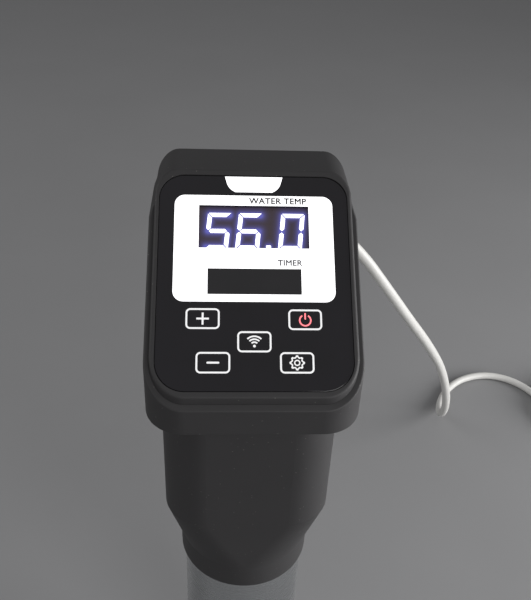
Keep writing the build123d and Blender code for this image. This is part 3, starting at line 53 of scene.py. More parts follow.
HAIR = 0.001 * MM
DUST_CELL_MM = 3.2
DUST_SPECK = 0.055          # radius of a speck, as a share of its cell
DUST_TONE = "#b9b6ae"
BUMP_STRENGTH = 0.5
COAT_ROUGHNESS = 0.08
LEAST_ROUGHNESS = 0.02


# ---------------------------------------------------------------- colour and materials
def linear(code: str, alpha: float = 1.0) -> tuple[float, float, float, float]:
    """Turns an sRGB hex colour into linear RGBA.

    Args:
        code: Colour such as "#1a1a1a".
        alpha: Opacity of the result.

    Returns:
        Four linear channel values.
    """
    channels = [int(code[start:start + 2], 16) / 255 for start in (1, 3, 5)]
    lit = [c / 12.92 if c <= 0.04045 else ((c + 0.055) / 1.055) ** 2.4 for c in channels]
    return (*lit, alpha)


def add_node(tree: bpy.types.NodeTree, kind: str, settings: dict | None = None,
             **links: bpy.types.NodeSocket) -> bpy.types.Node:
    """Adds a shader node, sets it up and feeds its inputs.

    Args:
        tree: Node tree that receives the node.
        kind: Blender node type name.
        settings: Values by input name or by the node's own property name.
        links: Output sockets by input name, with underscores for spaces.

    Returns:
        The new node.
    """
    node = tree.nodes.new(kind)
    for name, value in (settings or {}).items():
        if hasattr(node, name):
            setattr(node, name, value)
        else:
            node.inputs[name].default_value = value
    for name, output in links.items():
        tree.links.new(output, node.inputs[name.replace("_", " ")])
    return node


@dataclass(frozen=True)
class Finish:
    """A surface finish: what the stuff is and how it was made.

    The colour drifts between two close tones over a soft noise, the same noise moves the
    roughness a little, and a finer noise lifts the surface as its grain.
    """

    name: str
    tone: str
    second_tone: str
    roughness: float
    grain_mm: float
    relief_mm: float = 0.02
    drift_mm: float = 14.0
    metallic: float = 0.0
    ior: float = 1.46
    coat: float = 0.0
    sheen: float = 0.0
    stretch: tuple[float, float, float] = (1.0, 1.0, 1.0)
    dust: float = 0.0
    glow: float = 0.0
    spread: float = 0.06

    def material(self) -> bpy.types.Material:
        """Builds the node material, or returns the one already built."""
        made = bpy.data.materials.get(self.name)
        if made:
            return made
        made = bpy.data.materials.new(self.name)
        made.use_nodes = True
        tree = made.node_tree
        shader = tree.nodes["Principled BSDF"]
        place = add_node(tree, "ShaderNodeTexCoord").outputs["Object"]
        grainwise = add_node(tree, "ShaderNodeMapping", {"Scale": self.stretch}, Vector=place)
        grain = add_node(tree, "ShaderNodeTexNoise", {"Scale": 1000 / self.grain_mm, "Detail": 3.0},
                         Vector=grainwise.outputs["Vector"])
        drift = add_node(tree, "ShaderNodeTexNoise", {"Scale": 1000 / self.drift_mm, "Detail": 4.0},
                         Vector=grainwise.outputs["Vector"])
        tones = add_node(tree, "ShaderNodeMix", {"data_type": "RGBA"})
        tones.inputs[6].default_value = linear(self.tone)
        tones.inputs[7].default_value = linear(self.second_tone)
        tree.links.new(drift.outputs["Fac"], tones.inputs[0])
        colour = tones.outputs[2]
        if self.dust:
            colour = self._dusted(tree, place, colour)
        tree.links.new(colour, shader.inputs["Base Color"])
        spread = add_node(tree, "ShaderNodeMapRange",
                          {"To Min": max(self.roughness - self.spread, LEAST_ROUGHNESS),
                           "To Max": self.roughness + self.spread},
                          Value=drift.outputs["Fac"])
        tree.links.new(spread.outputs["Result"], shader.inputs["Roughness"])
        bump = add_node(tree, "ShaderNodeBump", {"Strength": BUMP_STRENGTH, "Distance": self.relief_mm * MM},
                        Height=grain.outputs["Fac"])
        tree.links.new(bump.outputs["Normal"], shader.inputs["Normal"])
        shader.inputs["Metallic"].default_value = self.metallic
        if not self.metallic:
            shader.inputs["IOR"].default_value = self.ior
        shader.inputs["Coat Weight"].default_value = self.coat
        shader.inputs["Coat Roughness"].default_value = COAT_ROUGHNESS
        shader.inputs["Sheen Weight"].default_value = self.sheen
        if self.glow:
            shader.inputs["Emission Color"].default_value = linear(self.tone)
            shader.inputs["Emission Strength"].default_value = self.glow
        return made

    def _dusted(self, tree: bpy.types.NodeTree, place: bpy.types.NodeSocket,
                colour: bpy.types.NodeSocket) -> bpy.types.NodeSocket:
        """Scatters pale specks of dust, about a third of a millimetre wide, over a colour.

        Args:
            tree: Node tree of the material.
            place: Socket of the object coordinates.
            colour: Socket of the clean colour.

        Returns:
            Socket of the dusted colour.
        """
        cells = add_node(tree, "ShaderNodeTexVoronoi", {"Scale": 1000 / DUST_CELL_MM, "Randomness": 1.0},
                         Vector=place)
        speck = add_node(tree, "ShaderNodeMath", {"operation": "LESS_THAN"})
        speck.inputs[1].default_value = DUST_SPECK
        tree.links.new(cells.outputs["Distance"], speck.inputs[0])
        thin = add_node(tree, "ShaderNodeMath", {"operation": "MULTIPLY"})
        thin.inputs[1].default_value = self.dust
        tree.links.new(speck.outputs["Value"], thin.inputs[0])
        dusted = add_node(tree, "ShaderNodeMix", {"data_type": "RGBA"})
        dusted.inputs[7].default_value = linear(DUST_TONE)
        tree.links.new(thin.outputs["Value"], dusted.inputs[0])
        tree.links.new(colour, dusted.inputs[6])
        return dusted.outputs[2]


# Soft-touch ABS, moulded with a fine spark-eroded texture: a dull black that holds dust.
SOFT_ABS = Finish("soft_touch_abs", "#2d2c2d", "#323132", 0.6, 0.45, 0.03, dust=0.3)
# Glass-filled PP of the parts in the water: black, a little greyer and more open in texture.
WATER_PP = Finish("glass_filled_pp", "#1b1c1d", "#26282a", 0.52, 0.6, 0.03)
# PMMA lens, hard-coated and printed black behind: deep gloss.
LENS_PMMA = Finish("black_printed_pmma", "#19181a", "#1d1b20", 0.12, 9.0, 0.002, coat=0.25, ior=1.49)
# White screen print seen through the same lens and lit from behind.
PRINT_WHITE = Finish("white_screen_print", "#fbfbfc", "#ffffff", 0.2, 0.8, 0.002, coat=0.2, glow=0.92)
# Pale grey print of the key outlines and icons, lit from behind.
PRINT_GREY = Finish("grey_screen_print", "#dcdcdd", "#e6e6e6", 0.3, 0.8, 0.002, glow=0.56)
# Red-lit print of the power key's icon.
PRINT_RED = Finish("red_lit_print", "#ff7d86", "#ff8f92", 0.3, 0.8, 0.002, glow=0.8)
PRINT_BLACK = Finish("black_screen_print", "#0d0d0d", "#161616", 0.4, 0.8, 0.002)
PRINT_MID = Finish("mid_grey_screen_print", "#5c5c60", "#68686c", 0.4, 0.8, 0.002)
# Smoked film over the timer's dark digits.
SMOKED_FILM = Finish("smoked_film", "#29292a", "#2e2d2f", 0.16, 5.0, 0.002)
# Seven-segment bars of diffusing epoxy, lit from behind.
LIT_EPOXY = Finish("lit_epoxy_bar", "#f4f3ff", "#ffffff", 0.4, 0.8, 0.002, glow=1.6)
FOAM_TAPE = Finish("acrylic_foam_tape", "#121212", "#1c1c1c", 0.85, 0.5, 0.05)
ZINC_SCREW = Finish("zinc_plated_steel", "#a9acb0", "#c2c4c6", 0.32, 0.4, 0.01, metallic=1.0)
BOARD_MASK = Finish("solder_masked_glass_epoxy", "#15402a", "#1d5235", 0.34, 0.7, 0.01, coat=0.3)
FILLED_EPOXY = Finish("filled_epoxy_module", "#29262a", "#322d31", 0.5, 0.5, 0.01)
SPRING_STEEL = Finish("nickel_plated_spring_steel", "#b6b4aa", "#c9c6ba", 0.25, 0.3, 0.005, metallic=1.0)
TIN_CAN = Finish("tin_plated_can", "#bcbcb8", "#cacac6", 0.3, 1.2, 0.01, metallic=1.0)
BLACK_PBT = Finish("black_pbt", "#161617", "#1f1f21", 0.45, 0.4, 0.015)
# Drawn stainless tube, polished round and round on a belt: lines run round the tube.
BELT_STAINLESS = Finish("belt_polished_stainless", "#b9bbbd", "#c2c4c5", 0.27, 0.35, 0.003,
                        metallic=1.0, stretch=(0.004, 0.004, 1.0), drift_mm=0.6, spread=0.03)
ANNEALED_SHEATH = Finish("annealed_stainless_sheath", "#8d8c86", "#a7a59b", 0.42, 0.6, 0.01, metallic=1.0)
GROUND_SHAFT = Finish("ground_stainless_shaft", "#c4c6c8", "#d4d6d7", 0.18, 0.3, 0.004,
                      metallic=1.0, stretch=(0.1, 0.1, 2.0))
RED_SILICONE = Finish("red_silicone", "#6c2219", "#7c2b20", 0.6, 0.5, 0.02)
BLACK_RUBBER = Finish("black_nitrile_rubber", "#191919", "#222222", 0.72, 0.5, 0.03, sheen=0.15)
NATURAL_PEEK = Finish("natural_peek", "#c9bfa4", "#d6cdb4", 0.4, 0.8, 0.01)
PRESSED_ZINC = Finish("zinc_plated_pressing", "#8d9194", "#a1a5a8", 0.36, 1.4, 0.015, metallic=1.0)
FERRITE = Finish("sintered_ferrite", "#2d2d2f", "#3b3b3d", 0.6, 0.4, 0.03)
VARNISHED_CORE = Finish("varnished_core_and_copper", "#5c3b22", "#86532b", 0.35, 0.5, 0.05,
                        metallic=0.6, stretch=(1.0, 1.0, 8.0))
WHITE_PBT = Finish("white_pbt", "#d9d9d2", "#e4e4de", 0.4, 0.6, 0.01)
TAPED_CORE = Finish("polyester_tape", "#b8912c", "#cda43a", 0.3, 4.0, 0.01, coat=0.3)
RELAY_PBT = Finish("blue_pbt", "#1d4b96", "#2356a6", 0.38, 0.6, 0.01)
SLEEVED_CAN = Finish("sleeved_aluminium_can", "#23252c", "#2d3038", 0.3, 1.0, 0.005, coat=0.3)
BLACK_ANODISED = Finish("black_anodised_aluminium", "#1f2124", "#2a2c30", 0.4, 0.3, 0.01, metallic=0.7)
TURNED_BRASS = Finish("turned_brass", "#a98540", "#bd984f", 0.28, 0.3, 0.006, metallic=1.0)
ROLLED_THREAD = Finish("rolled_zinc_plated_thread", "#9b9fa2", "#b3b7b9", 0.34, 0.4, 0.01, metallic=1.0)
# PVC cord jacket, extruded: pale grey-white with a soft skin.
CORD_PVC = Finish("pale_pvc_jacket", "#c6c5c2", "#cfceca", 0.42, 1.0, 0.01, sheen=0.1)
PLUG_PVC = Finish("pale_pvc_moulding", "#c9c8c4", "#d3d2ce", 0.45, 0.5, 0.02)
TIE_NYLON = Finish("black_nylon_tie", "#191919", "#262626", 0.6, 0.6, 0.03, sheen=0.2)
FLOOR_BOARD = Finish("pale_laminate", "#858586", "#8b8b8c", 0.7, 1.5, 0.01, drift_mm=160.0)

NODE_FINISHES: dict[Finish, tuple[str, ...]] = {
    SOFT_ABS: ("head_upper_shell", "head_lower_shell", "neck_front_shell", "neck_rear_shell", "collar_ring",
               "clamp_bracket", "clamp_knob"),
    WATER_PP: ("bottom_cap", "impeller"),
    FOAM_TAPE: ("lens_tape",),
    ZINC_SCREW: ("shell_screws", "head_screws", "board_screws", "case_screws", "plate_screws",
                 "mount_screws", "bracket_screws", "impeller_nut"),
    BOARD_MASK: ("display_board", "power_board"),
    FILLED_EPOXY: ("temp_led_module", "timer_led_module"),
    SPRING_STEEL: ("touch_pads",),
    TIN_CAN: ("wifi_module",),
    BLACK_PBT: ("buzzer", "motor_end_cap"),
    BELT_STAINLESS: ("skirt", "heater_plate", "shaft_tube"),
    ANNEALED_SHEATH: ("heater_coil", "temp_probe", "level_probes"),
    GROUND_SHAFT: ("drive_shaft", "motor_shaft", "shaft_coupling", "motor_bearings"),
    RED_SILICONE: ("skirt_o_ring", "shaft_seal"),
    BLACK_RUBBER: ("motor_grommets", "jaw_pad", "clamp_pad"),
    NATURAL_PEEK: ("shaft_bush",),
    PRESSED_ZINC: ("motor_mount", "motor_can"),
    FERRITE: ("motor_magnets",),
    VARNISHED_CORE: ("motor_armature",),
    WHITE_PBT: ("cooling_fan",),
    TAPED_CORE: ("transformer",),
    RELAY_PBT: ("relay",),
    SLEEVED_CAN: ("capacitors",),
    BLACK_ANODISED: ("heatsink",),
    TURNED_BRASS: ("clamp_nut", "plug_pins"),
    PLUG_PVC: ("strain_relief", "plug_body"),
}


def dress_nodes() -> None:
    """Gives every CAD node that stays visible the finish of its real material."""
    for finish, names in NODE_FINISHES.items():
        for name in names:
            dress(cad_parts[name], finish)
            LOG.info("dressed %s in %s", name, finish.name)


@dataclass(frozen=True)
class PaintedGlowFinish:
    """Brown-black filled epoxy with a painted blue-violet glow: emission that stands in for the bars' light
    spreading round them.

    The painted glow follows the piece's own "glow" attribute, from 'veil' where it is 0 to 'bloom' where it
    is 1.
    """

    name: str
    tone: str
    second_tone: str
    veil: str
    bloom: str
    strength: float
    grain_mm: float = 0.8
    roughness: float = 0.35

    def material(self) -> bpy.types.Material:
        """Builds the node material, or returns the one already built."""
        made = bpy.data.materials.get(self.name)
        if made:
            return made
        made = bpy.data.materials.new(self.name)
        made.use_nodes = True
        tree = made.node_tree
        shader = tree.nodes["Principled BSDF"]
        place = add_node(tree, "ShaderNodeTexCoord").outputs["Object"]
        grain = add_node(tree, "ShaderNodeTexNoise", {"Scale": 1000 / self.grain_mm}, Vector=place)
        glow = add_node(tree, "ShaderNodeAttribute", {"attribute_name": "glow"})
        pairs = ((grain, self.tone, self.second_tone, "Base Color"),
                 (glow, self.veil, self.bloom, "Emission Color"))
        for share, first, second, socket in pairs:
            blend = add_node(tree, "ShaderNodeMix", {"data_type": "RGBA"})
            blend.inputs[6].default_value = linear(first)
            blend.inputs[7].default_value = linear(second)
            tree.links.new(share.outputs["Fac"], blend.inputs[0])
            tree.links.new(blend.outputs[2], shader.inputs[socket])
        # Painted glow: this emission lights the face although it is no lamp.
        shader.inputs["Emission Strength"].default_value = self.strength
        shader.inputs["Roughness"].default_value = self.roughness
        return made


# Face of the lit module: filled epoxy with a painted glow round its bars.
PAINTED_GLOW_FACE = PaintedGlowFinish("painted_glow_epoxy_face", "#2c2527", "#352d30", "#3a3236", "#7274dc", 0.62)


def dress(piece: bpy.types.Object, finish: Finish | PaintedGlowFinish) -> None:
    """Puts one finish on every face of a piece."""
    piece.data.materials.clear()
    piece.data.materials.append(finish.material())


# ---------------------------------------------------------------- shapes
def mesh_piece(name: str, points: np.ndarray, faces: np.ndarray) -> bpy.types.Object:
    """Makes a mesh object from arrays.

    Args:
        name: Name of the piece.
        points: Vertex places, one row each, in metres.
        faces: Vertex numbers of each quad, one row each.

    Returns:
        The new object, linked to the scene.
    """
    mesh = bpy.data.meshes.new(name)
    mesh.from_pydata(points.tolist(), [], faces.tolist())
    mesh.polygons.foreach_set("use_smooth", np.ones(len(faces), dtype=bool))
    mesh.update()
    piece = bpy.data.objects.new(name, mesh)
    bpy.context.scene.collection.objects.link(piece)
    return piece


def grid_faces(rows: int, columns: int, wrap_rows: bool = False, wrap_columns: bool = False) -> np.ndarray:
    """Quads of a grid of rows x columns vertices, joined end to end where it wraps."""
    row = np.arange(rows if wrap_rows else rows - 1)
    column = np.arange(columns if wrap_columns else columns - 1)
    r, c = (part.ravel() for part in np.meshgrid(row, column, indexing="ij"))
    below, beside = (r + 1) % rows, (c + 1) % columns
    corners = [r * columns + c, r * columns + beside, below * columns + beside, below * columns + c]
    return np.stack(corners, axis=1)


def rounded_box(width: float, height: float, radii: tuple[float, float],
                centre: tuple[float, float] = (0.0, 0.0)) -> np.ndarray:
    """Outline of a rectangle with quarter-circle corners.

    Args:
        width: Size across.
        height: Size up.
        radii: Corner radius of the lower and of the upper pair.
        centre: Middle of the rectangle.

    Returns:
        Points round the outline, counter-clockwise from the lower right corner.
    """
    corners = []
    for index, (side_x, side_y) in enumerate(((1, -1), (1, 1), (-1, 1), (-1, -1))):
        radius = radii[0] if side_y < 0 else radii[1]
        turn = np.linspace(-pi / 2, 0, 9) + index * pi / 2
        middle = (side_x * (width / 2 - radius), side_y * (height / 2 - radius))
        corners.append(np.stack([middle[0] + radius * np.cos(turn), middle[1] + radius * np.sin(turn)],
                                axis=1))
    return np.concatenate(corners) + np.array(centre)


def arc_band(centre: tuple[float, float], radius: float, width: float, start: float,
             sweep: float) -> np.ndarray:
    """Outline of a band of constant width along an arc, angles in radians."""
    turn = np.linspace(start, start + sweep, 24)
    outer = np.stack([np.cos(turn), np.sin(turn)], axis=1) * (radius + width / 2)
    inner = np.stack([np.cos(turn[::-1]), np.sin(turn[::-1])], axis=1) * (radius - width / 2)
    return np.concatenate([outer, inner]) + np.array(centre)


def circle(centre: tuple[float, float], radius: float, lobe: float = 0.0, lobes: int = 0) -> np.ndarray:
    """Closed curve whose radius swells by 'lobe' in each of 'lobes' even lobes."""
    turn = np.linspace(0, 2 * pi, 96, endpoint=False)
    reach = radius + lobe * np.tanh(2.2 * np.cos(lobes * turn)) if lobes else np.full_like(turn, radius)
    return np.stack([reach * np.cos(turn), reach * np.sin(turn)], axis=1) + np.array(centre)


@dataclass
class PanelPlane:
    """The flat top of the lens: origin at its middle, x across and y up the slope."""

    origin: np.ndarray
    across: np.ndarray = field(default_factory=lambda: np.array([1.0, 0.0, 0.0]))
    up: np.ndarray = field(default_factory=lambda: np.array([0.0, cos(PANEL_TILT), sin(PANEL_TILT)]))
    out: np.ndarray = field(default_factory=lambda: np.array([0.0, -sin(PANEL_TILT), cos(PANEL_TILT)]))

    def matrix(self, height: float) -> Matrix:
        """Transform from panel millimetres to the frame, 'height' metres above the lens."""
        place = self.origin + self.out * height
        columns = np.stack([self.across, self.up, self.out], axis=1)
        whole = np.eye(4)
        whole[:3, :3] = columns
        whole[:3, 3] = place
        return Matrix(whole.tolist())

    def points(self, across: np.ndarray, up: np.ndarray, height: np.ndarray | float) -> np.ndarray:
        """Places of panel coordinates in metres, one row each."""
        return (self.origin + np.outer(across, self.across) + np.outer(up, self.up)
                + np.outer(np.broadcast_to(height, across.shape), self.out))

    def plate(self, name: str, loops: list[np.ndarray], bottom: float, thickness: float,
              edge: float = 0.0) -> bpy.types.Object:
        """Flat plate with holes, lying on the panel.

        Args:
            name: Name of the piece.
            loops: Closed outlines in millimetres; each loop inside another opens or fills it in turn.
            bottom: Height of its underside above the lens, in metres.
            thickness: Its thickness in metres.
            edge: Radius of its rounded edges in metres.

        Returns:
            The finished mesh object.
        """
        curve = bpy.data.curves.new(name, "CURVE")
        curve.dimensions = "2D"
        curve.fill_mode = "BOTH"
        curve.extrude = thickness / 2 - edge
        curve.bevel_depth = edge
        curve.bevel_resolution = 2
        curve.offset = -edge
        for loop in loops:
            spline = curve.splines.new("POLY")
            spline.points.add(len(loop) - 1)
            spread = np.zeros((len(loop), 4))
            spread[:, :2] = np.asarray(loop) * MM
            spread[:, 3] = 1.0
            spline.points.foreach_set("co", spread.ravel())
            spline.use_cyclic_u = True
        return self._settle(bpy.data.objects.new(name, curve), bottom + thickness / 2)

    def lettering(self, name: str, words: str, right_end: tuple[float, float], height_mm: float,
                  lift: float, weight_mm: float = 0.09) -> bpy.types.Object:
        """Bold printed capitals.

        Args:
            name: Name of the piece.
            words: What it says.
            right_end: Right-hand end of the base line, in millimetres.
            height_mm: Height of the capitals.
            lift: Height above the lens in metres.
            weight_mm: How far each stroke is thickened on every side.

        Returns:
            The finished mesh object.
        """
        font = bpy.data.curves.new(name, "FONT")
        font.body = words
        font.align_x = "RIGHT"
        font.size = height_mm / 0.69 * MM
        font.space_character = 1.06
        font.extrude = 0.02 * MM
        item = bpy.data.objects.new(name, font)
        item.location = (right_end[0] * MM, right_end[1] * MM, 0)
        return self._embolden(self._settle(item, lift), weight_mm * MM)

    def _embolden(self, piece: bpy.types.Object, weight: float) -> bpy.types.Object:
        """Thickens flat letters: the mesh is repeated at eight shifts of length 'weight' round a circle.

        Each repeat lies a hair above the last one, so that no two faces share a plane.
        """
        mesh = piece.data
        places = np.empty(len(mesh.vertices) * 3)
        mesh.vertices.foreach_get("co", places)
        places = places.reshape(-1, 3)
        polygons = [list(polygon.vertices) for polygon in mesh.polygons]
        shifts = [self.across * 0.0]
        for step, angle in enumerate(np.linspace(0, 2 * pi, 8, endpoint=False), start=1):
            aside = self.across * np.cos(angle) + self.up * np.sin(angle)
            shifts.append(aside * weight + self.out * step * HAIR)
        copies = np.concatenate([places + shift for shift in shifts])
        loops = [[vertex + copy * len(places) for vertex in polygon]
                 for copy in range(len(shifts)) for polygon in polygons]
        bold = bpy.data.meshes.new(piece.name)
        bold.from_pydata(copies.tolist(), [], loops)
        bold.update()
        piece.data = bold
        return piece

    def _settle(self, item: bpy.types.Object, height: float) -> bpy.types.Object:
        """Turns a flat curve into a mesh and puts the place into its vertices."""
        scene = bpy.context.scene
        scene.collection.objects.link(item)
        graph = bpy.context.evaluated_depsgraph_get()
        mesh = bpy.data.meshes.new_from_object(item.evaluated_get(graph))
        mesh.transform(self.matrix(height) @ Matrix.Translation(item.location))
        name = item.name
        scene.collection.objects.unlink(item)
        bpy.data.objects.remove(item)
        piece = bpy.data.objects.new(name, mesh)
        scene.collection.objects.link(piece)
        return piece


# ---------------------------------------------------------------- control panel
class Glyph(Enum):
    """What each key's icon shows."""

    PLUS = "plus"
    MINUS = "minus"
    POWER = "power"
    WIRELESS = "wireless"
    SETTINGS = "settings"


@dataclass
class ControlPanel:
    """Lens with its printed area, windows, lit digits and five touch keys, in millimetres."""

    plane: PanelPlane
    lens_length: float
    lens_width: float = 79.0
    corner_low: float = 12.0
    corner_high: float = 10.5
    print_size: tuple[float, float] = (66.1, 46.75)
    print_centre: tuple[float, float] = (0.0, 13.75)
    temp_size: tuple[float, float] = (45.8, 19.0)
    temp_centre: tuple[float, float] = (0.0, 23.06)
    timer_size: tuple[float, float] = (38.3, 11.0)
    timer_centre: tuple[float, float] = (0.1, -0.96)
    key_size: tuple[float, float] = (13.6, 8.6)
    stroke: float = 0.72
    ink: float = 0.04 * MM
    digit_depth: float = 2.6 * MM
    temp_label_right: float = 22.0
    temp_label_rise: float = 0.95
    temp_label_height: float = 2.6
    timer_label_right: float = 19.6
    timer_label_rise: float = 1.5
    timer_label_height: float = 2.4
    keys: dict[Glyph, tuple[float, float]] = field(default_factory=lambda: {
        Glyph.PLUS: (-20.8, -16.75), Glyph.POWER: (20.3, -17.0), Glyph.WIRELESS: (-0.2, -26.2),
        Glyph.MINUS: (-16.55, -34.7), Glyph.SETTINGS: (16.67, -34.7)})

    def build(self) -> None:
        """Makes every piece of the panel."""
        self._lens()
        self._print()
        self._digits()
        for glyph, centre in self.keys.items():
            self._key(glyph, centre)

    def _keep(self, piece: bpy.types.Object, finish: Finish | PaintedGlowFinish) -> bpy.types.Object:
        """Dresses a panel piece and fixes it to the housing."""
        dress(piece, finish)
        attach(piece, "housing")
        LOG.info("panel piece %s", piece.name)
        return piece

    def _window(self, size: tuple[float, float], centre: tuple[float, float]) -> np.ndarray:
        """Nearly square-cornered outline of a display window."""
        return rounded_box(size[0], size[1], (0.15, 0.15), centre)

    def _lens(self) -> None:
        """Glossy lens plate with the temperature window cut through it."""
        outline = rounded_box(self.lens_width, self.lens_length, (self.corner_low, self.corner_high))
        window = self._window(self.temp_size, self.temp_centre)
        lens = self.plane.plate("panel_lens", [outline, window], -LENS_THICKNESS, LENS_THICKNESS, 0.25 * MM)
        self._keep(lens, LENS_PMMA)
        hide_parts("display_lens")

    def _print(self) -> None:
        """White printed area, the tab at the top edge, the timer's film and the two labels."""
        area = rounded_box(*self.print_size, (4.3, 4.3), self.print_centre)
        temp = self._window(self.temp_size, self.temp_centre)
        timer = self._window(self.timer_size, self.timer_centre)
        self._keep(self.plane.plate("print_area", [area, temp, timer], 0.0, self.ink), PRINT_WHITE)
        self._keep(self.plane.plate("timer_film", [timer], 0.0, self.ink), SMOKED_FILM)
        self._keep(self.plane.plate("print_tab", [self._tab()], 0.0, self.ink), PRINT_WHITE)
        temp_top = self.temp_centre[1] + self.temp_size[1] / 2
        timer_top = self.timer_centre[1] + self.timer_size[1] / 2
        lift = 2 * self.ink
        label = self.plane.lettering("label_temperature", "WATER TEMP",
                                     (self.temp_label_right, temp_top + self.temp_label_rise),
                                     self.temp_label_height, lift)
        self._keep(label, PRINT_BLACK)
        label = self.plane.lettering("label_timer", "TIMER",
                                     (self.timer_label_right, timer_top + self.timer_label_rise),
                                     self.timer_label_height, lift)
        self._keep(label, PRINT_MID)

    def _tab(self) -> np.ndarray:
        """Outline of the blank tab: sides that lean in, then a rounded lower corner each."""
        top, bottom = self.lens_length / 2 - 0.35, 38.7
        share = np.linspace(0, 1, 14)
        drop = top - (top - bottom) * share
        half = 12.2 - 1.9 * share - 2.6 * share**5
        right = np.stack([half, drop], axis=1)
        left = np.stack([-half[::-1], drop[::-1]], axis=1)
        return np.concatenate([right, left])

    def _digits(self) -> None:
        """Lit seven-segment characters on the display module, behind the window."""
        display = SevenSegments(self.plane, self.temp_centre, -self.digit_depth)
        for piece, finish in display.build(self.temp_size):
            self._keep(piece, finish)

    def _key(self, glyph: Glyph, centre: tuple[float, float]) -> None:
        """Rounded outline of one touch key with its icon inside."""
        inner = (self.key_size[0] - 2 * self.stroke, self.key_size[1] - 2 * self.stroke)
        ring = [rounded_box(*self.key_size, (1.9, 1.9), centre), rounded_box(*inner, (1.15, 1.15), centre)]
        self._keep(self.plane.plate(f"key_{glyph.value}_outline", ring, 0.0, self.ink), PRINT_GREY)
        finish = PRINT_RED if glyph is Glyph.POWER else PRINT_GREY
        icon = self.plane.plate(f"key_{glyph.value}_icon", self._icon(glyph, centre), 0.0, self.ink)
        self._keep(icon, finish)

    def _icon(self, glyph: Glyph, centre: tuple[float, float]) -> list[np.ndarray]:
        """Closed outlines of one icon."""
        x, y = centre
        if glyph is Glyph.MINUS:
            return [rounded_box(5.0, 0.78, (0.3, 0.3), centre)]
        if glyph is Glyph.PLUS:
            half, arm = 2.5, 0.38
            corners = [(half, -arm), (half, arm), (arm, arm), (arm, half), (-arm, half), (-arm, arm),
                       (-half, arm), (-half, -arm), (-arm, -arm), (-arm, -half), (arm, -half), (arm, -arm)]
            return [np.array(corners) + np.array(centre)]
        if glyph is Glyph.POWER:
            gap = radians(62)
            ring = arc_band((x, y - 0.25), 2.25, 0.6, pi / 2 + gap / 2, 2 * pi - gap)
            return [ring, rounded_box(0.6, 2.7, (0.25, 0.25), (x, y + 1.45))]
        if glyph is Glyph.WIRELESS:
            foot = (x, y - 1.75)
            waves = [arc_band(foot, reach, 0.62, radians(46), radians(88)) for reach in (1.6, 2.8, 4.0)]
            return waves + [circle(foot, 0.55)]
        rim = [circle(centre, 2.75, 0.32, 8), circle(centre, 2.05, 0.22, 8)]
        return rim + [circle(centre, 1.25), circle(centre, 0.75)]


